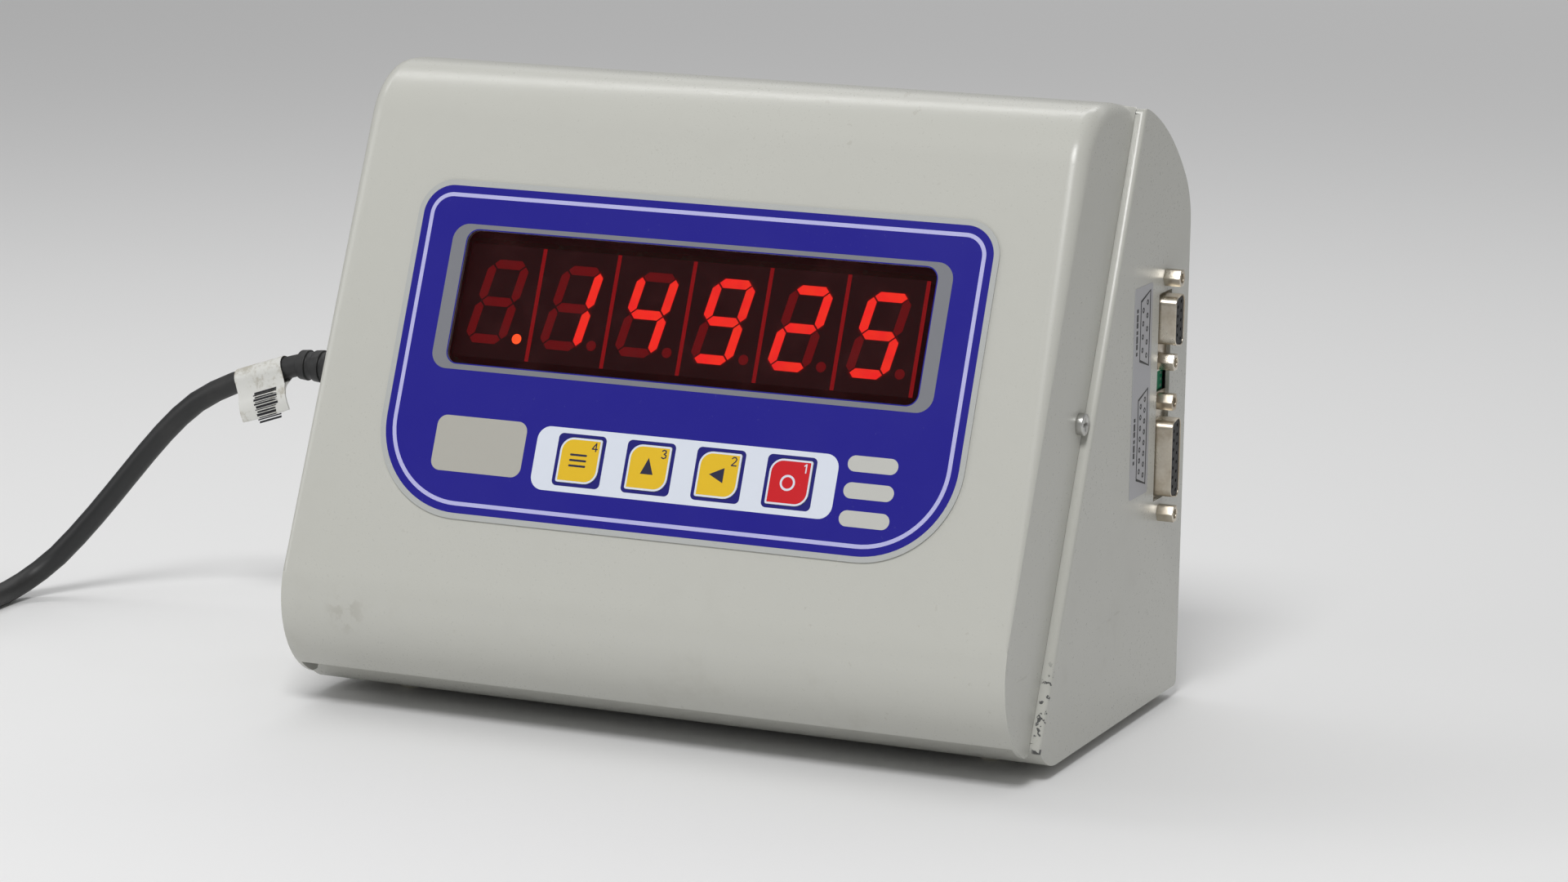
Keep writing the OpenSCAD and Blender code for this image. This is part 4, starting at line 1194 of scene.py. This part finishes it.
def digit(
    shape: Shape, text: str, middle: Vector, height: float, stroke: float, low: float, high: float
) -> None:
    """Adds a small numeral drawn with straight strokes.

    Args:
        shape: The shape to add to.
        text: The numeral.
        middle: Its middle in millimetres.
        height: Its height.
        stroke: The stroke's width.
        low: The print's lower face.
        high: The print's upper face.
    """
    for line in NUMERALS[text]:
        spots = [middle + Vector(((x - 0.42) * height * 0.95, (y - 0.5) * height)) for x, y in line]
        for number, (start, end) in enumerate(zip(spots, spots[1:])):
            ahead = (end - start).normalized()
            side = Vector((-ahead.y, ahead.x)) * stroke / 2
            start, end = start - ahead * stroke * 0.3, end + ahead * stroke * 0.3
            corners = [start - side, end - side, end + side, start + side]
            ring_plate(shape, [[tuple(c) for c in corners]], low, high + 0.001 * (number % 3))


@dataclass
class Display:
    """Six seven-segment modules behind the red filter, showing a reading."""

    finishes: Finishes
    case: Case
    label: FaceLabel
    reading: tuple[str, ...] = (" .", "1", "4", "9", "2", "5")
    module: Point = (24.0, 33.9)
    row_shift: float = -2.0
    face_depth: float = 3.65
    glyph: Point = (13.4, 25.4)
    glyph_shift: float = -0.6
    stroke: float = 2.9
    slant: float = 10.0
    gap: float = 0.35
    skin: float = 0.06
    clear: float = 0.01
    spill_clear: float = 0.008
    divider_skin: float = 0.03
    trim: float = 0.1
    point_place: Point = (-4.38, -10.5)
    point_radius: float = 1.5
    divider: Point = (1.2, 33.7)
    spill_steps: tuple[Point, ...] = ((0.0, 0.62), (0.35, 0.4), (0.8, 0.2), (1.4, 0.0))

    def bar(self, kind: Segment) -> Outline:
        """Makes one bar's outline round the glyph's middle, before it leans.

        Args:
            kind: Which bar.

        Returns:
            The outline.
        """
        w, h = self.glyph[0] / 2 - self.stroke / 2, self.glyph[1] / 2 - self.stroke / 2
        ends = {
            Segment.TOP: ((-w, h), (w, h)), Segment.UPPER_RIGHT: ((w, h), (w, 0.0)),
            Segment.LOWER_RIGHT: ((w, 0.0), (w, -h)), Segment.BOTTOM: ((-w, -h), (w, -h)),
            Segment.LOWER_LEFT: ((-w, 0.0), (-w, -h)), Segment.UPPER_LEFT: ((-w, h), (-w, 0.0)),
            Segment.MIDDLE: ((-w, 0.0), (w, 0.0)),
        }[kind]
        start, end = Vector(ends[0]), Vector(ends[1])
        ahead = (end - start).normalized()
        half = self.stroke / 2 - self.trim
        side = Vector((-ahead.y, ahead.x)) * half
        start, end = start + ahead * self.gap, end - ahead * self.gap
        near, far = start + ahead * half, end - ahead * half
        corners = [start, near - side, far - side, end, far + side, near + side]
        return [tuple(c) for c in corners]

    def leaned(self, outline: Outline, middle: Point) -> Outline:
        """Leans an outline to the right and moves it to its module."""
        lean = math.tan(math.radians(self.slant))
        return [(middle[0] + x + y * lean, middle[1] + y) for x, y in outline]

    def build(self) -> None:
        """Makes the lit bars, the point, the unlit bars and the modules' edges with a faint painted glow,
        and the light round the bars.
        """
        f = self.finishes
        front = -self.face_depth
        levels = (front + self.clear, front + self.skin)
        lit, point, unlit, divider, halo = (Shape() for _ in range(5))
        share = halo.bm.verts.layers.float.new("glow")
        for i, text in enumerate(self.reading):
            across = self.row_shift + (i - 2.5) * self.module[0]
            middle = (across + self.glyph_shift, self.label.window_up)
            for kind in Segment:
                target = lit if kind.value in GLYPHS[text[0]] else unlit
                outline = self.leaned(self.bar(kind), middle)
                ring_plate(target, [outline], *levels)
                if target is lit:
                    self.spill(halo, share, outline, front + self.spill_clear)
            joint = across + self.module[0] / 2
            spot = (joint + self.point_place[0], self.label.window_up + self.point_place[1])
            ring_plate(point if "." in text else unlit, [circle(spot, self.point_radius, 36)], *levels)
            edge = round_box(*self.divider, (0.1,) * 4, (joint - self.trim, self.label.window_up), 2)
            ring_plate(divider, [edge], levels[0], front + self.divider_skin)
        # The unlit bars and the modules' edges carry a faint painted glow.
        for shape, name, material in (
            (lit, "bars_lit", f.lit), (point, "point_lit", f.point),
            (unlit, "bars_unlit", f.unlit), (divider, "module_edges", f.module_wall_painted_glow),
            (halo, "bars_halo", f.halo),
        ):
            shape.move(self.label.frame)
            shape.done(name, Body.CASE, "segment_red", material)

    def spill(
        self, shape: Shape, share: bmesh.types.BMLayerItem, outline: Outline, level: float
    ) -> None:
        """Adds the faint light round a lit bar as a thin skirt with fading glow.

        Args:
            shape: The shape that holds every skirt.
            share: The glow attribute's layer.
            outline: The bar's outline.
            level: The skirt's height over the sheet in millimetres.
        """
        middle = sum((Vector(p) for p in outline), Vector((0.0, 0.0))) / len(outline)
        rings = []
        for reach, glow in self.spill_steps:
            ring = []
            for spot in outline:
                away = Vector(spot) - middle
                place = Vector(spot) + away.normalized() * reach
                vert = shape.bm.verts.new((place.x * MM, place.y * MM, (level - reach * 0.003) * MM))
                vert[share] = glow
                ring.append(vert)
            rings.append(ring)
        for inner, outer in zip(rings, rings[1:]):
            for i in range(len(inner)):
                k = (i + 1) % len(inner)
                shape.bm.faces.new((inner[i], outer[i], outer[k], inner[k]))


@dataclass
class CaseSkins:
    """Cover and shell with rounded bends, made from the frame's own sheets."""

    finishes: Finishes
    case: Case
    curl_cut: float = 9.6
    flat: float = math.radians(0.4)
    level: float = 0.002
    near: float = 0.02
    folded: float = 0.8
    steps: int = 6
    crown_near: float = 0.08
    crown_drop: float = 10.0
    seam_near: float = 0.4

    def build(self) -> None:
        """Rounds the sheets' long edges and stands in for the crisp ones."""
        sheet, bend = self.case.sheet, self.case.bend
        passes = (
            (lambda edge: self.cover_edges(edge, sheet), bend - sheet),
            (lambda edge: self.cover_edges(edge, 0.0), bend),
        )
        self.skin("front_cover", passes, False)
        self.skin("rear_shell", ((self.shell_edges, self.case.side_step),), True)

    def skin(self, node: str, passes: tuple[tuple[EdgeTest, float], ...], clamped: bool) -> None:
        """Makes one rounded copy of a CAD sheet.

        Args:
            node: The CAD node to copy.
            passes: Pairs of what picks the edges and their round's size.
            clamped: Whether rounds stop before they overlap.
        """
        shape = Shape()
        shape.bm.from_mesh(bpy.data.objects[node].data)
        bm = shape.bm
        bmesh.ops.remove_doubles(bm, verts=bm.verts, dist=SAME_SPOT)
        bmesh.ops.dissolve_limit(bm, angle_limit=self.flat, verts=bm.verts, edges=bm.edges)
        bmesh.ops.recalc_face_normals(bm, faces=bm.faces)
        if node == "front_cover":
            self.trim_curl(bm)
            self.clear_strips(bm)
        for choose, radius in passes:
            edges = [e for e in bm.edges if choose(e)]
            log.info("%s: rounding %d edges", node, len(edges))
            if edges:
                bmesh.ops.bevel(
                    bm, geom=edges, offset=radius * MM, offset_type="OFFSET", affect="EDGES",
                    segments=self.steps, profile=0.5, material=-1, clamp_overlap=clamped, loop_slide=True,
                )
        bmesh.ops.recalc_face_normals(bm, faces=bm.faces)
        if bm.calc_volume(signed=True) < 0:
            bmesh.ops.reverse_faces(bm, faces=bm.faces)
        shape.done(f"{node}_painted", Body.CASE, "case_paint", self.finishes.paint, (node,))

    def cut_along(self, bm: bmesh.types.BMesh, place: Vector, normal: Place) -> None:
        """Cuts edges into a mesh along a plane."""
        everything = [*bm.verts, *bm.edges, *bm.faces]
        bmesh.ops.bisect_plane(bm, geom=everything, dist=1e-7, plane_co=place, plane_no=normal)

    def clear_strips(self, bm: bmesh.types.BMesh) -> None:
        """Leaves one clean strip of faces beside each bend, wide enough for its round.

        Args:
            bm: The cover's mesh.
        """
        strip = self.case.cheek - self.case.bend - TOLERANCE
        for side in (-1, 1):
            self.cut_along(bm, Vector(((self.case.shift + side * strip) * MM, 0.0, 0.0)), (1.0, 0.0, 0.0))
        spare = []
        for edge in bm.edges:
            ends = [self.local(v.co) for v in edge.verts]
            reach = [abs(x) for x, _, _ in ends]
            inside = min(reach) >= strip - self.near and max(reach) >= strip + self.near
            if not inside or min(reach) > self.case.cheek - self.near:
                continue
            if len(edge.link_faces) == 2 and edge.calc_face_angle() < self.level:
                depths = (0.0, self.case.sheet)
                if any(all(self.on_face(y, z, depth) for _, y, z in ends) for depth in depths):
                    spare.append(edge)
        bmesh.ops.dissolve_edges(bm, edges=spare, use_verts=False)
        log.info("front cover: %d spare edges taken out of the strips", len(spare))

    def trim_curl(self, bm: bmesh.types.BMesh) -> None:
        """Cuts the curl's edge level between the cheeks, so that the lip below it shows.

        Args:
            bm: The cover's mesh.
        """
        inner = self.case.cheek - self.case.sheet
        for side in (-1, 1):
            self.cut_along(bm, Vector(((self.case.shift + side * inner) * MM, 0.0, 0.0)), (1.0, 0.0, 0.0))
        self.cut_along(bm, Vector((0.0, 0.0, (self.curl_cut + self.case.foot) * MM)), (0.0, 0.0, 1.0))
        below = []
        for face in bm.faces:
            x, _, z = self.local(face.calc_center_median())
            if abs(x) < inner - 0.5 and z < self.curl_cut - 0.01:
                below.append(face)
        bmesh.ops.delete(bm, geom=below, context="FACES")
        rims = [e for e in bm.edges if e.is_boundary]
        long_rims = [e for e in rims if abs(e.verts[0].co.x - e.verts[1].co.x) > inner * MM]
        corners = sorted({v for e in long_rims for v in e.verts}, key=lambda v: (v.co.x, v.co.y))
        if len(corners) == 4:
            left_a, left_b, right_a, right_b = corners
            bm.faces.new((left_a, right_a, right_b, left_b))
        bmesh.ops.holes_fill(bm, edges=[e for e in bm.edges if e.is_boundary], sides=0)
        log.info("curl cut: %d corners, %d open edges", len(corners), sum(e.is_boundary for e in bm.edges))
        bmesh.ops.recalc_face_normals(bm, faces=bm.faces)

    def local(self, spot: Vector) -> tuple[float, float, float]:
        """Moves a point to the case's own frame."""
        return spot.x / MM - self.case.shift, spot.y / MM, spot.z / MM - self.case.foot

    def on_fold(self, edge: bmesh.types.BMEdge, reach: float) -> bool:
        """Tells whether an edge is a fold at a distance from the case's middle plane.

        Args:
            edge: The edge.
            reach: The distance in millimetres.

        Returns:
            Whether it is.
        """
        if not all(abs(abs(self.local(v.co)[0]) - reach) < TOLERANCE for v in edge.verts):
            return False
        return len(edge.link_faces) == 2 and edge.calc_face_angle() >= self.folded

    def cover_edges(self, edge: bmesh.types.BMEdge, depth: float) -> bool:
        """Picks the bend between face or roll and each cheek.

        Args:
            edge: The edge.
            depth: Depth in the sheet, 0 outside.

        Returns:
            Whether the edge is part of the bend.
        """
        if not self.on_fold(edge, self.case.cheek - depth):
            return False
        return all(self.on_face(*self.local(v.co)[1:], depth) for v in edge.verts)

    def on_face(self, y: float, z: float, depth: float) -> bool:
        """Tells whether a profile point is on the face, roll or crown ahead of the seam.

        Args:
            y: The point's depth coordinate.
            z: Its height.
            depth: Depth in the sheet, 0 outside.

        Returns:
            Whether it is.
        """
        c = self.case
        spot = Vector((y, z))
        reach = c.out.dot(spot) - (c.out.dot(c.curl_mid) + c.curl - depth)
        flat = abs(reach) < TOLERANCE and z > c.curl_mid.y + (c.curl - depth) * c.out.y - 0.1
        rolled = abs((spot - c.roll_mid).length - c.roll + depth) < TOLERANCE and z > c.roll_mid.y
        above = z > c.height - self.crown_drop and y > 0
        crowned = above and abs((spot - c.crown_mid).length - c.crown + depth) < self.crown_near
        return flat or rolled or crowned

    def shell_edges(self, edge: bmesh.types.BMEdge) -> bool:
        """Picks the shell's bend at its front edge on each side.

        Args:
            edge: The edge.

        Returns:
            Whether the edge is part of the bend.
        """
        if not self.on_fold(edge, self.case.width / 2):
            return False
        places = [self.local(v.co) for v in edge.verts]
        return all(abs(y - self.case.seam(z)) < self.seam_near for _, y, z in places)


@dataclass
class SideDetails:
    """Drawings of the two connectors on the sticker beside the slot."""

    finishes: Finishes
    drawings: tuple[tuple[float, tuple[int, int], float], ...] = ((18.0, (5, 4), 3.9), (-14.0, (8, 7), 3.2))
    frame_across: float = 1.6
    frame_margin: float = 1.6
    frame_half: float = 4.3
    frame_line: float = 0.62
    frame_taper: float = 2.4
    columns: Point = (3.3, -0.2)
    hole: Point = (0.85, 0.35)
    mark_count: int = 7
    mark_pitch: float = 2.1
    mark_across: float = -5.2
    mark_width: float = 1.3
    mark_height: Point = (1.1, 0.5)
    clear: float = 0.005
    thick: float = 0.02

    def build(self) -> None:
        """Makes the drawings and a column of plain marks beside each."""
        low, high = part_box("connector_sticker")
        ink = Shape()
        middle = (low + high) / 2 / MM
        for offset, rows, pitch in self.drawings:
            ring_plate(ink, self.frame(offset, rows[0] * pitch / 2 + self.frame_margin), 0.0, self.thick)
            for column, count in zip(self.columns, rows):
                for i in range(count):
                    spot = (column, offset + (i - (count - 1) / 2) * pitch)
                    ring_plate(ink, [circle(spot, radius, 12) for radius in self.hole], 0.0, self.thick)
            for i in range(self.mark_count):
                spot = (self.mark_across, offset + (i - self.mark_count // 2) * self.mark_pitch)
                tall = self.mark_height[0] + self.mark_height[1] * (i % 3)
                bar = round_box(self.mark_width, tall, (0.1,) * 4, spot, 2)
                ring_plate(ink, [bar], 0.0, self.thick)
        turn = Matrix(((0, 0, 1, 0), (1, 0, 0, 0), (0, 1, 0, 0), (0, 0, 0, 1)))
        place = Matrix.Translation(Vector((high.x + self.clear * MM, middle.y * MM, middle.z * MM)))
        ink.move(place @ turn)
        ink.done("sticker_drawings", Body.CASE, "sticker_silver", self.finishes.sticker_ink)

    def frame(self, offset: float, half: float) -> list[Outline]:
        """Makes the outer and inner outline of a drawing's tapered frame.

        Args:
            offset: The drawing's middle along the sticker.
            half: Half its length.

        Returns:
            The two outlines.
        """
        outlines = []
        for inset in (0.0, self.frame_line):
            wide, tall, short = self.frame_half - inset, half - inset, half - self.frame_taper - inset
            corners = ((-wide, -short), (wide, -tall), (wide, tall), (-wide, short))
            outlines.append([(self.frame_across + x, offset + y) for x, y in corners])
        return outlines


@dataclass
class SlotBoard:
    """Narrow circuit board between the two connectors, seen through the slot."""

    finishes: Finishes
    thick: float = 1.4
    width: float = 10.0
    clear: float = 0.2
    rib: float = 0.8
    rib_inset: float = 0.6
    edge: float = 0.12
    pad_across: float = 3.6
    pad_half: Point = (0.5, 0.4)
    pad_thick: float = 0.06
    pad_rows: int = 3

    def build(self) -> None:
        """Makes the strip, the rib that joins it to the connector board, and its pads."""
        upper_low, upper_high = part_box("port_a_shell")
        _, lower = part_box("port_b_shell")
        _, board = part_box("connector_board")
        middle = (upper_low.y + upper_high.y) / 2 / MM
        low, high = lower.z / MM + self.clear, upper_low.z / MM - self.clear
        front = upper_low.x / MM + self.clear
        back, half = front - self.thick, self.width / 2
        strip, pads = Shape(), Shape()
        strip.block((back, middle - half, low), (front, middle + half, high))
        root = (board.x / MM, middle - self.rib, low + self.rib_inset)
        strip.block(root, (back, middle + self.rib, high - self.rib_inset))
        wide, tall = self.pad_half
        for side in (-1, 1):
            for step in range(self.pad_rows):
                across = middle + side * self.pad_across
                rise = low + (high - low) * (step + 0.5) / self.pad_rows
                start = (front, across - wide, rise - tall)
                pads.block(start, (front + self.pad_thick, across + wide, rise + tall))
        for shape in (strip, pads):
            shape.move(Matrix.Scale(MM, 4))
        strip.soften(strip.sharp_edges(), self.edge * MM, 2)
        strip.done("slot_board", Body.CASE, "board_green", self.finishes.board)
        pads.done("slot_board_pads", Body.CASE, "bright_metal", self.finishes.steel)


@dataclass
class Softened:
    """Copies of small frame pieces with their crisp edges slightly rounded."""

    finishes: Finishes
    flat: float = math.radians(1.0)
    folded: float = 0.75

    def build(self) -> None:
        """Rounds the edges of each listed piece."""
        f = self.finishes
        case, metal, plastic = Body.CASE, "bright_metal", "black_plastic"
        listed = (
            ("port_a_shell", 0.45, metal, f.nickel, case), ("port_b_shell", 0.45, metal, f.nickel, case),
            ("screw_locks", 0.3, metal, f.nickel, case), ("cover_screws", 0.25, metal, f.steel, case),
            ("inlet_screws", 0.25, metal, f.steel, case), ("plug_pins", 0.35, metal, f.brass, case),
            ("inlet_body", 0.5, plastic, f.black, case), ("rocker_frame", 0.5, plastic, f.black, case),
            ("rocker_button", 0.6, plastic, f.black, Body.ROCKER),
            ("mains_plug", 1.5, "cord_rubber", f.rubber, case),
            ("cord_connector", 0.9, "cord_rubber", f.rubber, case),
            ("cord_tie", 0.25, "cord_rubber", f.rubber, case),
            ("capacitors", 0.6, plastic, f.navy_sleeve, case),
        )
        for node, radius, slot, material, body in listed:
            shape = Shape()
            shape.bm.from_mesh(bpy.data.objects[node].data)
            bmesh.ops.remove_doubles(shape.bm, verts=shape.bm.verts, dist=SAME_SPOT)
            bmesh.ops.dissolve_limit(
                shape.bm, angle_limit=self.flat, verts=shape.bm.verts, edges=shape.bm.edges
            )
            bmesh.ops.recalc_face_normals(shape.bm, faces=shape.bm.faces)
            shape.soften(shape.sharp_edges(self.folded), radius * MM)
            piece = shape.done(f"{node}_soft", body, slot, material, (node,))
            log.info("%s has %d faces", piece.name, len(piece.data.polygons))


@dataclass
class MainsSwitch:
    """Marks on the mains switch."""

    finishes: Finishes
    sink: float = 1.1
    line: tuple[float, float] = (0.7, 3.4)
    ring: tuple[float, float] = (1.7, 1.2)
    thick: float = 0.4
    spread: float = 0.25

    def build(self) -> None:
        """Makes the line and circle of the rocker."""
        low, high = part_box("rocker_button")
        marks = Shape()
        middle = (low + high) / 2 / MM
        rise = (high.z - low.z) / MM * self.spread
        ring_plate(marks, [round_box(*self.line, (0.2,) * 4, (0.0, rise), 3)], 0.0, self.thick)
        ring_plate(marks, [circle((0.0, -rise), radius, 36) for radius in self.ring], 0.0, self.thick)
        turn = Matrix(((0, 0, -1, 0), (-1, 0, 0, 0), (0, 1, 0, 0), (0, 0, 0, 1)))
        depth = low.x + self.sink * MM
        marks.move(Matrix.Translation(Vector((depth, middle.y * MM, middle.z * MM))) @ turn)
        marks.done("rocker_marks", Body.ROCKER, "black_plastic", self.finishes.strip)


@dataclass(frozen=True)
class Lamp:
    """One soft rectangular light, in metres and watts."""

    name: str
    place: Place
    target: Place
    size: Point
    power: float

    def build(self) -> None:
        """Makes the light and aims it at its target."""
        data = bpy.data.lights.new(self.name, "AREA")
        data.shape, data.energy = "RECTANGLE", self.power
        data.size, data.size_y = self.size
        lamp = bpy.data.objects.new(self.name, data)
        lamp.location = self.place
        lamp.rotation_mode = "QUATERNION"
        lamp.rotation_quaternion = (Vector(self.target) - Vector(self.place)).to_track_quat("-Z", "Y")
        bpy.context.scene.collection.objects.link(lamp)


@dataclass
class Studio:
    """Pale floor, even surroundings and soft lights."""

    floor: Colour = (0.8, 0.8, 0.8)
    floor_half: float = 6.0
    surroundings: Colour = (0.34, 0.34, 0.34)
    reflected: Colour = (0.26, 0.26, 0.265)
    lamps: tuple[Lamp, ...] = (
        Lamp("key", (0.25, -1.1, 1.45), (0.0, 0.0, 0.08), (0.5, 0.5), 17.0),
        Lamp("fill", (-1.5, -0.9, 0.7), (0.0, 0.0, 0.08), (0.8, 0.8), 4.0),
        Lamp("far_floor", (0.0, 4.0, 2.5), (0.0, 4.2, 0.0), (5.0, 3.0), 34.0),
        Lamp("strip", (-0.45, 0.42, 1.05), (0.0, 0.0, 0.15), (1.7, 0.05), 4.0),
    )

    def build(self) -> None:
        """Makes the floor, the world and the lights."""
        g = Graph("studio_floor")
        material = g.surface(Base_Color=opaque(self.floor), Roughness=0.7 + g.noise(6.0) * 0.1)
        mesh = bpy.data.meshes.new("floor")
        bm = bmesh.new()
        bmesh.ops.create_grid(bm, x_segments=1, y_segments=1, size=self.floor_half)
        bm.to_mesh(mesh)
        bm.free()
        mesh.materials.append(material)
        floor = bpy.data.objects.new("floor", mesh)
        bpy.context.scene.collection.objects.link(floor)
        world = bpy.data.worlds.new("studio")
        bpy.context.scene.world = world
        world.use_nodes = True
        tree = world.node_tree
        back = tree.nodes["Background"]
        path = tree.nodes.new("ShaderNodeLightPath")
        tone = tree.nodes.new("ShaderNodeMix")
        tone.data_type = "RGBA"
        tone.inputs[MIX_LOW].default_value = opaque(self.surroundings)
        tone.inputs[MIX_HIGH].default_value = opaque(self.reflected)
        tree.links.new(path.outputs["Is Glossy Ray"], tone.inputs[MIX_FACTOR])
        tree.links.new(tone.outputs[MIX_RESULT], back.inputs["Color"])
        back.inputs["Strength"].default_value = 1.0
        for lamp in self.lamps:
            lamp.build()


@dataclass
class Indicator:
    """The whole instrument, dressed."""

    finishes: Finishes
    case: Case

    def repaint(self) -> None:
        """Puts the finishes into the frame's own material slots."""
        f = self.finishes
        shared = (
            (f.steel, "display_standoffs display_nuts board_pillars board_screws fuse_clips cover_screws"),
            (f.steel, "transformer_clamp transformer_screws inlet_screws"),
            (f.board, "display_board main_board connector_board"),
            (f.nickel, "port_a_shell port_b_shell screw_locks"),
            (f.black, "ribbon_headers port_a_insulator port_b_insulator"),
            (f.black, "inlet_body rocker_frame rocker_button"),
            (f.rubber, "cord_connector cord_tie mains_plug"),
            (f.brass, "inlet_pins plug_pins"),
            (f.film, "overlay_label"), (f.tint, "display_filter"), (f.black_metal, "regulator_sink"),
            (f.navy_sleeve, "capacitors"), (f.glass, "fuse"), (f.ribbon, "ribbon_cable"),
            (f.core, "transformer_core"), (f.tape, "transformer_winding"),
            (f.sticker, "connector_sticker"), (f.foot, "feet"),
        )
        finish = {node: material for material, nodes in shared for node in nodes.split()}
        finish |= {f"digit_module_{i}": f.module_face for i in range(1, 7)}
        finish |= {f"tact_switch_{i}": f.black for i in range(1, 5)}
        finish |= {f"switch_plunger_{i}": f.ivory for i in range(1, 5)}
        for node, material in finish.items():
            data = bpy.data.objects[node].data
            for number in range(len(data.materials)):
                data.materials[number] = material

    def build(self) -> None:
        """Builds every sub-assembly, the lead as soon as the pieces that it carries are there."""
        Softened(self.finishes).build()
        MainsLead(self.finishes, self.case).build()
        self.repaint()
        label = FaceLabel(self.finishes, self.case)
        label.build()
        Display(self.finishes, self.case, label).build()
        CaseSkins(self.finishes, self.case).build()
        SideDetails(self.finishes).build()
        SlotBoard(self.finishes).build()
        MainsSwitch(self.finishes).build()


def main() -> None:
    """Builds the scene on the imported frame."""
    logging.basicConfig(level=logging.INFO, format="%(name)s: %(message)s")
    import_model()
    bpy.context.scene.view_settings.view_transform = "Standard"
    PhotoCamera().build()
    Indicator(Finishes(), Case()).build()
    Studio().build()


if __name__ == "__main__":
    main()
